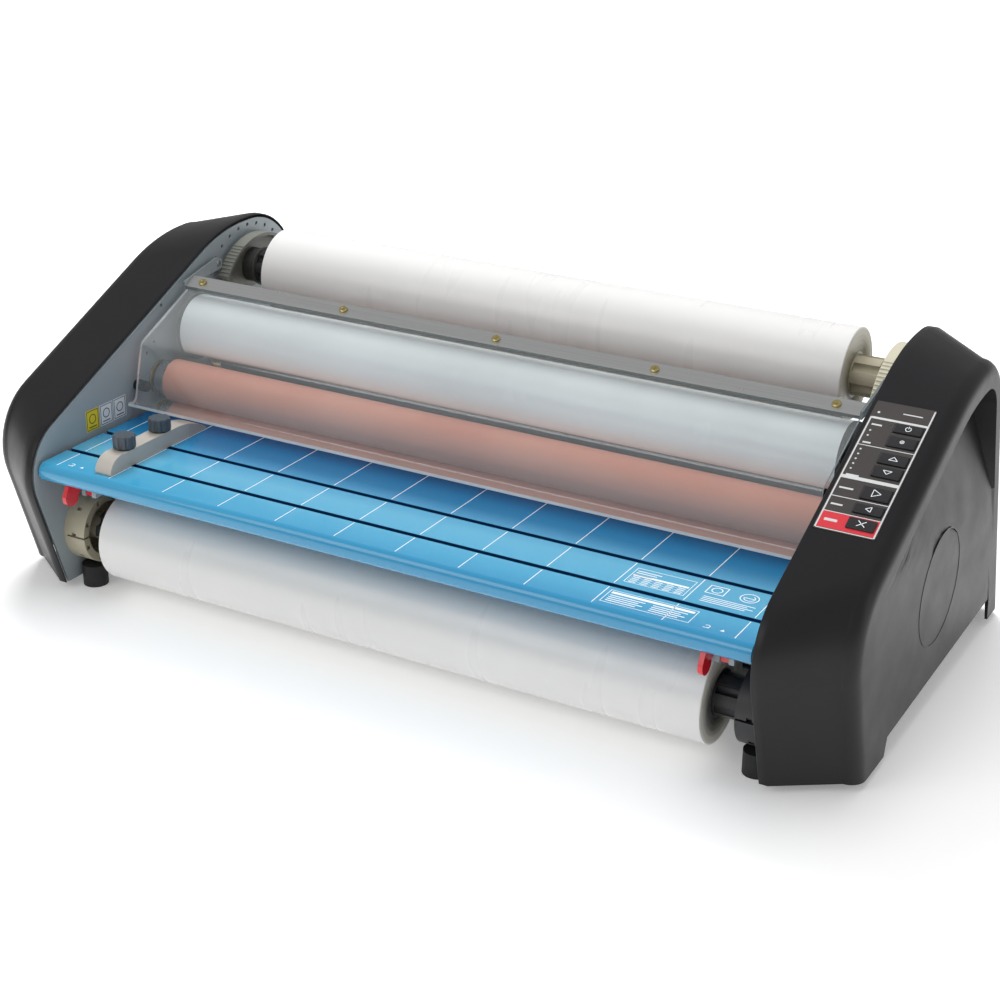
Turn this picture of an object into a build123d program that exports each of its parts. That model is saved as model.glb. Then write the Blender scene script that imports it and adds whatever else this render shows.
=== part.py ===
from build123d import *
import math
import os

os.makedirs("parts", exist_ok=True)

# Frame: X runs along the rollers, +Y to the back and +Z up.
# The origin is on the floor, midway between the covers.
# All sizes are millimetres and all angles degrees.

# ---- driving sizes ----
TABLE_TOP = 146.0            # height of the feed table's top
FRAME_X = 369.6              # inner face of each side frame
FRAME_T = 3.0                # sheet thickness of the side frames
COVER_X = 444.5              # outer face of each cover
COVER_WALL = 3.0
COVER_LAND = 378.0           # the cover's outline starts to taper here
COVER_RIM = 430.0            # and ends here, where the rounded edge to the side panel starts
COVER_BOTTOM = 8.0
EDGE_STEPS = ((438.5, 2.7), (443.1, 8.1), (COVER_X, 14.0))   # the rounded edge: x and inset of each step
SLOPE_Z = 270.04             # height of the sloping top's line above the origin
SLOPE = 0.458                # rise per run of the sloping top
SLOPE_DEG = math.degrees(math.atan(SLOPE))
SEAM = 0.8                   # gap between a cover's rim and the frame plate inside it
ROLLER_R = 21.9              # rubber surface of all four driven rollers
ROLLER_PITCH = 44.0          # distance between the rollers of a pair
NIP_Z = 152.6                # the nip, just above the table
HEAT_Y = -33.4               # axis of the heat rollers
MODULE = 2.0                 # gear module
ROLLER_TEETH = 22
IDLER_TEETH = 26
PINION_TEETH = 14
GEAR_X = (376.0, 386.0)      # span of the gears along X
ROLLER_JOURNAL = 12.0
RUN_GAP = 0.05               # radial clearance of every running fit
FILM_HALF = 317.5            # half the film's width, 25 inches in all
UPPER_FILM = (117.7, 257.6)  # axis of the upper film roll, y and z
UPPER_FILM_R = 43.4
LOWER_FILM = (-159.1, 60.0)
LOWER_FILM_R = 44.3
CORE_R = 21.5
CHUCK_R = 19.0
FILM_JOURNAL = 8.0
TABLE_HALF = 366.5
TABLE_FRONT = -224.0
TABLE_BACK = -57.0
TABLE_T = 19.0
SLOT_Y = (-180.0, -127.2)    # the two T-slots in the table
SLOT_MOUTH = 6.0
SHIELD_T = 3.0
SHIELD_PIVOT = (62.0, 272.0)
PIVOT_R = 3.0
PANEL_CENTRE = (400.0, -56.0)
PANEL_WIDTH = 53.0
PANEL_LENGTH = 154.0

# ---- sizes that follow ----
UPPER_HEAT = (HEAT_Y, NIP_Z + ROLLER_PITCH / 2)
LOWER_HEAT = (HEAT_Y, NIP_Z - ROLLER_PITCH / 2)
IDLER_STEP = MODULE * (ROLLER_TEETH + IDLER_TEETH) / 2
DRIVE_IDLER = (HEAT_Y + IDLER_STEP, LOWER_HEAT[1])
PULL_Y = HEAT_Y + 2 * IDLER_STEP
UPPER_PULL = (PULL_Y, UPPER_HEAT[1])
LOWER_PULL = (PULL_Y, LOWER_HEAT[1])
PINION = (DRIVE_IDLER[0], DRIVE_IDLER[1] - MODULE * (IDLER_TEETH + PINION_TEETH) / 2)
ROLLER_AXES = (UPPER_HEAT, LOWER_HEAT, UPPER_PULL, LOWER_PULL)
PLATE_OUT = FRAME_X + FRAME_T


# ---- helpers ----
def block(x0, x1, y0, y1, z0, z1):
    """A box between two corners."""
    return Pos((x0 + x1) / 2, (y0 + y1) / 2, (z0 + z1) / 2) * Box(x1 - x0, y1 - y0, z1 - z0)


def rod(x0, x1, axis, radius):
    """A cylinder along X between x0 and x1, on the axis (y, z)."""
    return Pos((x0 + x1) / 2, axis[0], axis[1]) * Rot(0, 90, 0) * Cylinder(radius, x1 - x0)


def tube(x0, x1, axis, outer, inner):
    """A pipe along X."""
    return rod(x0, x1, axis, outer) - rod(x0 - 1, x1 + 1, axis, inner)


def post(x, y, z0, z1, radius):
    """An upright cylinder."""
    return Pos(x, y, (z0 + z1) / 2) * Cylinder(radius, z1 - z0)


def side_plane(x):
    """A plane facing +X at x, whose own axes are Y and Z."""
    return Plane(origin=(x, 0, 0), x_dir=(0, 1, 0), z_dir=(1, 0, 0))


def slope_plane(x, y, lift=0.0):
    """A plane on the sloping top through (x, y), with its own Y up the slope."""
    normal = (0, -math.sin(math.radians(SLOPE_DEG)), math.cos(math.radians(SLOPE_DEG)))
    base = Vector(x, y, SLOPE_Z + SLOPE * y) + Vector(*normal) * lift
    return Plane(origin=base, x_dir=(1, 0, 0), z_dir=normal)


def profile(points, x0, x1):
    """The closed outline through (y, z) points, filled and drawn out from x0 to x1."""
    face = side_plane(x0) * make_face(Polyline(*points, close=True))
    return extrude(face, amount=x1 - x0, dir=(1, 0, 0))


def group(pieces):
    """Separate solids that share one node."""
    return Compound(children=[s for p in pieces for s in p.solids()])


def both_sides(piece):
    """A piece of the right side and its mirror image on the left."""
    return group([piece, mirror(piece, about=Plane.YZ)])


def save(piece, name):
    export_step(piece, "parts/" + name + ".step")


def rounded_wire(x, corners, radii):
    """A closed wire at x through (y, z) corners, each rounded by its radius."""
    edges = []
    starts = []
    ends = []
    for i, (corner, radius) in enumerate(zip(corners, radii)):
        here = Vector(x, *corner)
        before = (Vector(x, *corners[i - 1]) - here).normalized()
        after = (Vector(x, *corners[(i + 1) % len(corners)]) - here).normalized()
        half = math.radians(before.get_angle(after)) / 2
        reach = radius / math.tan(half)
        middle = (before + after).normalized()
        starts.append(here + before * reach)
        ends.append(here + after * reach)
        if radius > 0:
            nearest = here + middle * (radius / math.sin(half) - radius)
            edges.append(ThreePointArc(starts[-1], nearest, ends[-1]))
        else:
            edges.append(None)
    path = []
    for i, arc in enumerate(edges):
        if arc is not None:
            path.append(arc)
        path.append(Line(ends[i], starts[(i + 1) % len(corners)]))
    return Wire(path)


def inset_corners(corners, distance):
    """The corners of the outline that lies a distance inside a clockwise (y, z) outline."""
    moved = []
    for i, (y, z) in enumerate(corners):
        y0, z0 = corners[i - 1]
        y1, z1 = corners[(i + 1) % len(corners)]
        first = math.hypot(y - y0, z - z0)
        second = math.hypot(y1 - y, z1 - z)
        n1 = ((z - z0) / first, -(y - y0) / first)
        n2 = ((z1 - z) / second, -(y1 - y) / second)
        scale = distance / (1 + n1[0] * n2[0] + n1[1] * n2[1])
        moved.append((y + (n1[0] + n2[0]) * scale, z + (n1[1] + n2[1]) * scale))
    return moved


# Corners of the cover's side outline, clockwise from the front foot: nose, top, back, rear foot.
INNER_CORNERS = [
    (-196.6, COVER_BOTTOM),
    (-244.7, 158.0),
    (79.6, 306.5),
    (198.0, 306.5),
    (231.0, COVER_BOTTOM),
]
INNER_RADII = [0, 58, 185, 75, 0]
OUTER_CORNERS = [
    (-162.0, COVER_BOTTOM),
    (-213.7, 172.2),
    (57.0, 296.15),
    (145.0, 296.15),
    (231.0, COVER_BOTTOM),
]
OUTER_RADII = [0, 70, 200, 58, 0]
HOLLOW_INSET = 25.0          # how far the hand-hold's arch lies inside the side panel's outline
HOLLOW_RADII = [0, 20, 120, 32, 0]
HOLLOW_START = (-120.0, 190.0)   # a point, y and z, where the hand-hold's floor meets the side panel
HOLLOW_SLOPE = (0.035, 0.247)    # how fast its floor sinks towards +Y and +Z


def outline(x, outer, inset, drop=0.0):
    """The cover's outline at x, shrunk by inset, with its open bottom lowered by drop."""
    corners = inset_corners(OUTER_CORNERS if outer else INNER_CORNERS, inset)
    radii = [max(r - inset, 1) if r else 0 for r in (OUTER_RADII if outer else INNER_RADII)]
    for end, inner in ((0, 1), (-1, -2)):
        run = (corners[end][0] - corners[inner][0]) / (corners[end][1] - corners[inner][1])
        low = COVER_BOTTOM - drop
        corners[end] = (corners[end][0] + run * (low - corners[end][1]), low)
    return rounded_wire(x, corners, radii)


def lofted(*wires):
    """A straight-sided solid through the outlines."""
    return Solid.make_loft([w for w in wires], True)


# ---- covers ----
def right_cover_solid():
    """The shell: a land, a tapering hood, a rounded edge and a side panel with its hollow, open below."""
    outside = lofted(outline(FRAME_X, False, 0), outline(COVER_LAND, False, 0))
    outside += lofted(outline(COVER_LAND, False, 0), outline(COVER_RIM, True, 0))
    last = (COVER_RIM, 0.0)
    for step in EDGE_STEPS:
        outside += lofted(outline(last[0], True, last[1]), outline(step[0], True, step[1]))
        last = step
    wall = COVER_WALL
    inside = lofted(outline(FRAME_X - 1, False, wall, 20), outline(COVER_LAND, False, wall, 20))
    inside += lofted(outline(COVER_LAND, False, wall, 20), outline(COVER_RIM - 1, True, wall, 20))
    inside += lofted(outline(COVER_RIM - 1, True, wall, 20), outline(COVER_X - wall, True, last[1] + 1, 20))
    shell = (outside - hollow(0)) - (inside - hollow(wall))
    return shell - skirt_gap()


def hollow(grow):
    """The arched hand-hold: deepest under its arch, running out flush towards the front and bottom."""
    corners = inset_corners(OUTER_CORNERS, HOLLOW_INSET - grow)
    arch = rounded_wire(COVER_X - 60, corners, HOLLOW_RADII)
    slab = extrude(Face(arch), amount=80, dir=(1, 0, 0))
    across, up = HOLLOW_SLOPE
    outward = Vector(1, across, up).normalized()
    start = Vector(COVER_X, *HOLLOW_START) - outward * grow
    beyond = Plane(origin=start, z_dir=outward) * Pos(0, 0, 400) * Box(1600, 1600, 800)
    return slab & beyond


def skirt_gap():
    """The long shallow gap under the side panel, which leaves a foot at each end."""
    low, high = COVER_BOTTOM - 10, 29.0
    points = [(-104, low), (-98, 25), (-88, high), (186, high + 4), (202, low)]
    return profile(points, COVER_X - 30, COVER_X + 5)


def panel_opening():
    """The shallow seat of the control panel and the window behind its buttons."""
    seat = extrude(slope_plane(*PANEL_CENTRE, -1.2) * Rectangle(PANEL_WIDTH, PANEL_LENGTH), amount=6)
    window = slope_plane(PANEL_CENTRE[0] + BUTTON_SIDE, PANEL_CENTRE[1], -12) * Rectangle(
        BUTTON_WIDTH + 2, PANEL_LENGTH - 12
    )
    return seat + extrude(window, amount=20)


# Buttons from the top of the panel down: name, share of the panel's length to the centre, height.
BUTTONS = (
    ("power_button", 0.187, 11.0),
    ("heat_button", 0.289, 13.0),
    ("faster_button", 0.424, 13.0),
    ("slower_button", 0.525, 13.0),
    ("run_button", 0.690, 15.0),
    ("reverse_button", 0.808, 11.0),
    ("stop_button", 0.917, 13.0),
)
BUTTON_WIDTH = 24.0
BUTTON_SIDE = 10.7
BUTTON_GAP = 0.35
BOARD_POSTS = ((-19, -68), (-19, 68), (19, 68))   # the board's spacers, clear of every button


def button_plane(share, lift):
    """The plane of a button's face centre, lifted off the panel."""
    along = PANEL_LENGTH * (0.5 - share)
    flat = slope_plane(*PANEL_CENTRE, lift)
    return Plane(origin=flat.origin + flat.y_dir * along + flat.x_dir * BUTTON_SIDE, x_dir=flat.x_dir,
                 z_dir=flat.z_dir)


def control_panel():
    """The face plate in its seat, with a window for each button."""
    face = RectangleRounded(PANEL_WIDTH - 0.4, PANEL_LENGTH - 0.4, 1.5)
    plate = extrude(slope_plane(*PANEL_CENTRE, -1.1) * face, amount=1.5)
    for _, share, height in BUTTONS:
        window = Rectangle(BUTTON_WIDTH + 2 * BUTTON_GAP, height - 1 + 2 * BUTTON_GAP)
        plate -= extrude(button_plane(share, -3) * window, amount=8)
    return plate


def button(share, height):
    """A key cap with softened edges on a short plunger."""
    cap = extrude(button_plane(share, -2.5) * RectangleRounded(BUTTON_WIDTH, height - 1, 1.2), amount=4.5)
    cap = chamfer(cap.faces().sort_by(Axis((0, 0, 0), slope_plane(0, 0).z_dir))[-1].edges(), 0.6)
    stem = extrude(button_plane(share, -6.5) * Circle(2.5), amount=4.2)
    return cap + stem


def control_board():
    """The board under the panel, with one switch below each plunger."""
    board = extrude(slope_plane(*PANEL_CENTRE, -13.5) * Rectangle(PANEL_WIDTH - 6, PANEL_LENGTH - 8), amount=1.6)
    for _, share, _ in BUTTONS:
        board += extrude(button_plane(share, -12) * Rectangle(6, 6), amount=3.6)
    for dx, dy in BOARD_POSTS:
        back = dy * math.cos(math.radians(SLOPE_DEG))
        flat = slope_plane(PANEL_CENTRE[0] + dx, PANEL_CENTRE[1] + back, -12)
        board += extrude(flat * Circle(2.5), amount=12 - COVER_WALL)
    return board


# ---- side frames ----
def hole(axis, radius):
    """A hole through the right side frame."""
    return rod(FRAME_X - 3, PLATE_OUT + 3, axis, radius)


def arc_of_points(centre, radius, first, last, count):
    """Points spread evenly on an arc, angles in degrees from +Y towards +Z."""
    step = (last - first) / (count - 1)
    angles = [math.radians(first + step * i) for i in range(count)]
    return [(centre[0] + radius * math.cos(a), centre[1] + radius * math.sin(a)) for a in angles]


BUSH_R = 16.0
LATCH_CENTRE = (121.5, 222.0)
LATCH_R = 69.0
TIE_BARS = ((150.0, 60.0), (-60.0, 40.0))
UPPER_IDLER = (72.0, 205.0)
LOWER_IDLER = (-96.0, 100.0)
BAR_R = 7.0
FRONT_FOOT_Y = -168.0
REAR_FOOT_Y = 150.0
SMALL_HOLES = ((-25.0, 249.0), (-52.0, 206.0), (-66.0, 186.0), (-40.0, 214.0), (-158.0, 42.0))


def foot_tab():
    """The short tab of the frame that carries a front foot."""
    return block(FRAME_X - 12, FRAME_X + 0.1, FRONT_FOOT_Y - 4, FRONT_FOOT_Y + 4, COVER_BOTTOM, COVER_BOTTOM + 2.5)


def right_frame():
    """The side plate inside the cover's rim, with its bottom flange, bush seats and punched holes."""
    inset = COVER_WALL + SEAM
    plate = lofted(outline(FRAME_X, False, inset), outline(PLATE_OUT, False, inset))
    plate += block(FRAME_X - 30, PLATE_OUT, -150, 205, COVER_BOTTOM, COVER_BOTTOM + 2.5)
    plate += foot_tab()
    for axis in ROLLER_AXES:
        plate -= hole(axis, BUSH_R)
    for point in arc_of_points(LATCH_CENTRE, LATCH_R + 7, 52, 148, 9):
        plate -= hole(point, 2.0)
    for point in SMALL_HOLES:
        plate -= hole(point, 1.8)
    for axis in TIE_BARS + (UPPER_IDLER, LOWER_IDLER):
        plate -= hole(axis, 3.0)
    plate -= hole(PINION, 9.0)
    plate -= hole(DRIVE_IDLER, 4.0)
    plate -= hole((32.0, 262.0), 5.0)
    plate -= hole(SHIELD_PIVOT, PIVOT_R)
    return plate + table_rail()


def left_frame():
    """The left plate is the right one's mirror image, without the drive's holes."""
    plate = mirror(right_frame(), about=Plane.YZ)
    plate += mirror(rod(FRAME_X, PLATE_OUT, PINION, 9.0), about=Plane.YZ)
    plate += mirror(rod(FRAME_X, PLATE_OUT, DRIVE_IDLER, 4.0), about=Plane.YZ)
    return plate


def feet():
    """Four rubber feet: tall ones slotted on the frames' front tabs, low ones under the rear flanges."""
    standing = (Align.CENTER, Align.CENTER, Align.MIN)
    front = Pos(FRAME_X - 13, FRONT_FOOT_Y, 0) * Cylinder(12.5, 22, align=standing) - foot_tab()
    rear = Pos(FRAME_X - 13, REAR_FOOT_Y, 0) * Cylinder(12.5, COVER_BOTTOM, align=standing)
    return both_sides(group([front, rear]))


def cross_bars():
    """Two tie bars and the upper and lower film guide bars, drilled and screwed between the frames."""
    made = []
    for axis in TIE_BARS + (UPPER_IDLER, LOWER_IDLER):
        bar = rod(-FRAME_X, FRAME_X, axis, BAR_R)
        for x0, x1 in ((-FRAME_X - 1, -FRAME_X + 16), (FRAME_X - 16, FRAME_X + 1)):
            bar -= rod(x0, x1, axis, 3.0)
        made.append(bar)
    return group(made)


def frame_fasteners():
    """Screws of the cross bars, the shield's pivot pins and the idler gear's stud, fixed in the frames."""
    made = []
    for axis in TIE_BARS + (UPPER_IDLER, LOWER_IDLER):
        screw = rod(FRAME_X - 12, PLATE_OUT, axis, 3.0) + rod(PLATE_OUT, PLATE_OUT + 4, axis, 5.0)
        screw -= rod(PLATE_OUT + 1.5, PLATE_OUT + 5, axis, 2.4)
        made.append(screw)
    made.append(pivot_pin())
    return group([both_sides(group(made)), idler_stud()])


# ---- rollers and drive ----
def roller_bushes():
    """Flanged bushes of the four rollers in both frames."""
    made = []
    for axis in ROLLER_AXES:
        bush = tube(FRAME_X - 2, PLATE_OUT + 1, axis, BUSH_R, ROLLER_JOURNAL + RUN_GAP)
        bush += tube(FRAME_X - 2, FRAME_X, axis, BUSH_R + 2, ROLLER_JOURNAL + RUN_GAP)
        made.append(bush)
    return both_sides(group(made))


HEAT_SLEEVE_HALF = 350.0


def roller_core(axis):
    """A hollow steel roller: thick body, plain end rings and journals that pass through the bushes."""
    core = rod(-HEAT_SLEEVE_HALF - 13, HEAT_SLEEVE_HALF + 13, axis, ROLLER_R - 3)
    core += rod(-FRAME_X - 6, GEAR_X[1] + 2, axis, ROLLER_JOURNAL)
    core -= rod(-FRAME_X - 7, GEAR_X[1] + 3, axis, 8.0)
    return core


def roller_sleeve(axis):
    """The silicone rubber skin."""
    return tube(-HEAT_SLEEVE_HALF, HEAT_SLEEVE_HALF, axis, ROLLER_R, ROLLER_R - 3)


def pull_roller(axis):
    """A rubber-covered pull roller with its turned journals."""
    body = rod(-HEAT_SLEEVE_HALF, HEAT_SLEEVE_HALF, axis, ROLLER_R)
    body += rod(-FRAME_X - 6, GEAR_X[1] + 2, axis, ROLLER_JOURNAL)
    return body


def tooth_points(teeth, phase):
    """Points round a gear's edge: involute flanks made thin enough to run with backlash."""
    pitch = MODULE * teeth / 2
    base = pitch * math.cos(math.radians(20))
    tip = pitch + 0.9 * MODULE
    root = pitch - 1.2 * MODULE
    backlash = 0.12
    half_pitch = math.pi / (2 * teeth) - backlash / (2 * pitch)
    flat = math.tan(math.acos(base / pitch)) - math.acos(base / pitch)
    points = []
    for i in range(teeth):
        middle = phase + 2 * math.pi * i / teeth
        low = max(base, root)
        sides = []
        for k in range(4):
            r = low + (tip - low) * k / 3
            roll = math.acos(min(1.0, base / r))
            sides.append((r, half_pitch + flat - (math.tan(roll) - roll)))
        left = [(root, sides[0][1])] + sides if root < low else sides
        for r, a in left:
            points.append((r * math.cos(middle - a), r * math.sin(middle - a)))
        for r, a in reversed(left):
            points.append((r * math.cos(middle + a), r * math.sin(middle + a)))
    return points


def gear(axis, teeth, phase, bore):
    """A spur gear on the axis, its first tooth at the phase angle from +Y."""
    points = [(axis[0] + y, axis[1] + z) for y, z in tooth_points(teeth, phase)]
    wheel = profile(points, *GEAR_X)
    return wheel - rod(GEAR_X[0] - 1, GEAR_X[1] + 1, axis, bore)


def meshing_phase(driver, driver_teeth, driver_phase, follower, teeth):
    """The phase that puts the follower's gap against the driver's tooth."""
    towards = math.atan2(follower[1] - driver[1], follower[0] - driver[0])
    passed = (towards - driver_phase) * driver_teeth / (2 * math.pi)
    return towards + math.pi - 2 * math.pi / teeth * (0.5 - passed)


def gears():
    """The train: pinion, idler, lower heat roller, lower pull roller, then up to the upper rollers."""
    lower_heat = 0.0
    upper_heat = meshing_phase(LOWER_HEAT, ROLLER_TEETH, lower_heat, UPPER_HEAT, ROLLER_TEETH)
    idler = meshing_phase(LOWER_HEAT, ROLLER_TEETH, lower_heat, DRIVE_IDLER, IDLER_TEETH)
    lower_pull = meshing_phase(DRIVE_IDLER, IDLER_TEETH, idler, LOWER_PULL, ROLLER_TEETH)
    upper_pull = meshing_phase(LOWER_PULL, ROLLER_TEETH, lower_pull, UPPER_PULL, ROLLER_TEETH)
    pinion = meshing_phase(DRIVE_IDLER, IDLER_TEETH, idler, PINION, PINION_TEETH)
    save(gear(LOWER_HEAT, ROLLER_TEETH, lower_heat, ROLLER_JOURNAL), "lower_heat_gear")
    save(gear(UPPER_HEAT, ROLLER_TEETH, upper_heat, ROLLER_JOURNAL), "upper_heat_gear")
    save(gear(LOWER_PULL, ROLLER_TEETH, lower_pull, ROLLER_JOURNAL), "lower_pull_gear")
    save(gear(UPPER_PULL, ROLLER_TEETH, upper_pull, ROLLER_JOURNAL), "upper_pull_gear")
    save(gear(DRIVE_IDLER, IDLER_TEETH, idler, 6 + RUN_GAP), "drive_idler_gear")
    shaft = rod(MOTOR_FACE + 2, GEAR_X[1], PINION, 5.0)
    save(gear(PINION, PINION_TEETH, pinion, 5.0) + shaft, "motor_pinion")


MOTOR_FACE = 352.0


def idler_stud():
    """The shouldered stud that the idler gear turns on, fixed in the right frame."""
    stud = rod(FRAME_X, PLATE_OUT, DRIVE_IDLER, 4.0) + rod(PLATE_OUT, GEAR_X[0] - 0.3, DRIVE_IDLER, 8.0)
    stud += rod(GEAR_X[0] - 0.3, GEAR_X[1] + 0.3, DRIVE_IDLER, 6.0)
    return stud + rod(GEAR_X[1] + 0.3, GEAR_X[1] + 2, DRIVE_IDLER, 8.0)


def gear_motor():
    """The motor with its gearbox, on four posts from the right frame."""
    y, z = PINION
    box = block(MOTOR_FACE - 32, MOTOR_FACE, y - 26, y + 26, z - 26, z + 26)
    box = fillet(box.edges().filter_by(Axis.X), 6)
    body = box + rod(MOTOR_FACE - 110, MOTOR_FACE - 32, PINION, 24)
    body += rod(MOTOR_FACE - 118, MOTOR_FACE - 110, PINION, 8)
    body -= rod(MOTOR_FACE - 6, MOTOR_FACE + 1, PINION, 5 + RUN_GAP)
    for dy in (-20, 20):
        for dz in (-20, 20):
            body += rod(MOTOR_FACE, FRAME_X, (y + dy, z + dz), 3.5)
    return body


def pressure_springs():
    """A coil spring over each upper pull roller bush, under its fixed hook."""
    wire = Helix(pitch=3.4, height=27, radius=4.0, center=(PLATE_OUT + 6.7, PULL_Y - 8, UPPER_PULL[1] + 24))
    return both_sides(sweep(Plane(origin=wire @ 0, z_dir=wire % 0) * Circle(0.7), path=wire))


def heater_lamps():
    """A tube heater through the middle of each heat roller, with ceramic ends."""
    made = []
    for axis in (UPPER_HEAT, LOWER_HEAT):
        lamp = rod(-395, 395, axis, 4.0)
        for x0, x1 in ((-405, -392), (392, 405)):
            lamp += rod(x0, x1, axis, 6.0)
        made.append(lamp)
    return group(made)


def heater_hood():
    """The bright curved hood over the upper heat roller."""
    centre = (14.0, 218.0)
    hood = tube(-352, 352, centre, 34.0, 32.6)
    keep = arc_of_points(centre, 90, 75, 215, 8)
    return hood & profile([centre] + keep, -352, 352)


def hood_ends():
    """End plates that close the hood and fasten it to the side frames."""
    centre = (14.0, 218.0)
    disc = rod(352, 356, centre, 34.0)
    disc += rod(356, FRAME_X, centre, 6.0)
    return both_sides(disc)


# ---- base ----
def base_pan():
    """The folded tray that joins the frames behind the lower film roll."""
    low = COVER_BOTTOM + 2.5
    half = FRAME_X - 0.5
    pan = block(-half, half, -100, 205, low, low + 1.5)
    pan += block(-half, half, -101.5, -100, low, low + 22)
    pan += block(-half, half, 205, 206.5, low, low + 98)
    pan += block(-half, half, 196, 206.5, low + 98, low + 99.5)
    for x in range(-280, 241, 20):
        pan -= Pos(x, 206, 76) * Box(6, 8, 34)
    pan -= Pos(FAN[0], 206, FAN[2]) * Rot(90, 0, 0) * Cylinder(27, 8)
    pan -= block(INLET_X - 14, INLET_X + 14, 203, 209, 32, 52)
    pan -= block(SWITCH_X - 10.5, SWITCH_X + 10.5, 203, 209, 30, 54)
    return pan


FAN = (-330.0, 197.0, 62.0)
INLET_X = 300.0
SWITCH_X = 262.0
ROCKER_PIVOT = (202.5, 42.0)
ROCKER_PIN_R = 1.5


def power_inlet():
    """The mains socket body, flanged outside the rear wall, with three blades."""
    body = block(INLET_X - 13.8, INLET_X + 13.8, 186, 208.5, 32.2, 51.8)
    body += block(INLET_X - 19, INLET_X + 19, 206.5, 208.5, 28, 56)
    body -= block(INLET_X - 11, INLET_X + 11, 192, 209, 35, 49)
    for dx, dz in ((-6, -2), (6, -2), (0, 3)):
        body += block(INLET_X + dx - 1, INLET_X + dx + 1, 190, 206, 42 + dz - 2.5, 42 + dz + 2.5)
    return body


def switch_body():
    """The frame of the rocker switch."""
    body = block(SWITCH_X - 10.3, SWITCH_X + 10.3, 186, 206.5, 30.2, 53.8)
    body += block(SWITCH_X - 13, SWITCH_X + 13, 206.5, 208.3, 28, 56)
    body -= block(SWITCH_X - 8, SWITCH_X + 8, 194, 209, 32, 52)
    return body - rod(SWITCH_X - 9.5, SWITCH_X + 9.5, ROCKER_PIVOT, ROCKER_PIN_R + RUN_GAP)


def power_rocker():
    """The rocker: a shallow vee on its cross pin, tilted fully to one side at rest."""
    y, z = ROCKER_PIVOT
    points = [(y - 3, z - 7), (y + 6.5, z - 9), (y + 4.2, z), (y + 6.5, z + 9), (y - 3, z + 7)]
    rocker = profile(points, SWITCH_X - 7.6, SWITCH_X + 7.6)
    rocker = rocker.rotate(Axis((0, y, z), (1, 0, 0)), -7)
    return rocker + rod(SWITCH_X - 9.3, SWITCH_X + 9.3, ROCKER_PIVOT, ROCKER_PIN_R)


def fan_frame():
    """A square fan housing on the rear wall, with its hub held by four spokes."""
    x, y, z = FAN
    body = block(x - 30, x + 30, y - 7, y + 8, z - 30, z + 30)
    body -= Pos(x, y, z) * Rot(90, 0, 0) * Cylinder(28, 40)
    hub = Pos(x, y - 5.5, z) * Rot(90, 0, 0) * Cylinder(11, 3)
    for turn in range(4):
        hub += Pos(x, y - 5.5, z) * Rot(0, 45 + 90 * turn, 0) * Pos(20, 0, 0) * Box(20, 3, 2.5)
    hub += Pos(x, y - 1, z) * Rot(90, 0, 0) * Cylinder(2, 8)
    return body + hub


def fan_rotor():
    """Seven twisted blades on a cup."""
    x, y, z = FAN
    cup = Pos(x, y + 1, z) * Rot(90, 0, 0) * Cylinder(11, 8)
    blade = Pos(17, 0, 0) * Rot(35, 0, 0) * Box(15, 1.2, 9)
    for turn in range(7):
        cup += Pos(x, y + 1, z) * Rot(0, 360 / 7 * turn, 0) * blade
    return cup - Pos(x, y - 1.5, z) * Rot(90, 0, 0) * Cylinder(2 + RUN_GAP, 9.2)


def power_board():
    """The supply board on the base tray: transformer, capacitor and terminal block."""
    low = COVER_BOTTOM + 4
    board = block(-250, -130, 20, 110, low + 6, low + 7.6)
    for x in (-245, -135):
        for y in (25, 105):
            board += post(x, y, low, low + 6, 3)
    board += block(-240, -195, 30, 70, low + 7.6, low + 42)
    board += post(-165, 50, low + 7.6, low + 34, 11)
    board += block(-230, -150, 88, 100, low + 7.6, low + 20)
    return board


# ---- film supply rolls ----
def film_roll(axis, radius):
    """The wound film: a thick tube on its core, with slightly rounded ends."""
    roll = tube(-FILM_HALF, FILM_HALF, axis, radius, CORE_R)
    ends = roll.edges().filter_by(GeomType.CIRCLE).filter_by(lambda e: abs(e.radius - radius) < 0.1)
    return fillet(ends, 0.8)


def film_core(axis):
    """The cardboard core with the two keyed end plugs pushed into it, whose journals turn in the holders."""
    core = tube(-FILM_HALF, FILM_HALF, axis, CORE_R, CHUCK_R)
    plug = rod(FILM_HALF - 30, HOLDER_X - 0.8, axis, CHUCK_R)
    for turn in range(6):
        a = math.radians(60 * turn + 20)
        groove = (axis[0] + CHUCK_R * math.cos(a), axis[1] + CHUCK_R * math.sin(a))
        plug -= rod(FILM_HALF + 1, HOLDER_X + 1, groove, 4.5)
    plug += rod(HOLDER_X - 1, FRAME_X - 6, axis, FILM_JOURNAL)
    return group([core, both_sides(plug)])


HOLDER_X = 344.0
HOLDER_R = 18.0


def upper_holders():
    """A boss on each frame with a bore for the core's journal; the release lever turns on its outside."""
    boss = tube(HOLDER_X, FRAME_X, UPPER_FILM, HOLDER_R, FILM_JOURNAL + RUN_GAP)
    boss += tube(HOLDER_X, HOLDER_X + 2, UPPER_FILM, HOLDER_R + 2.5, FILM_JOURNAL + RUN_GAP)
    return both_sides(boss)


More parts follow.
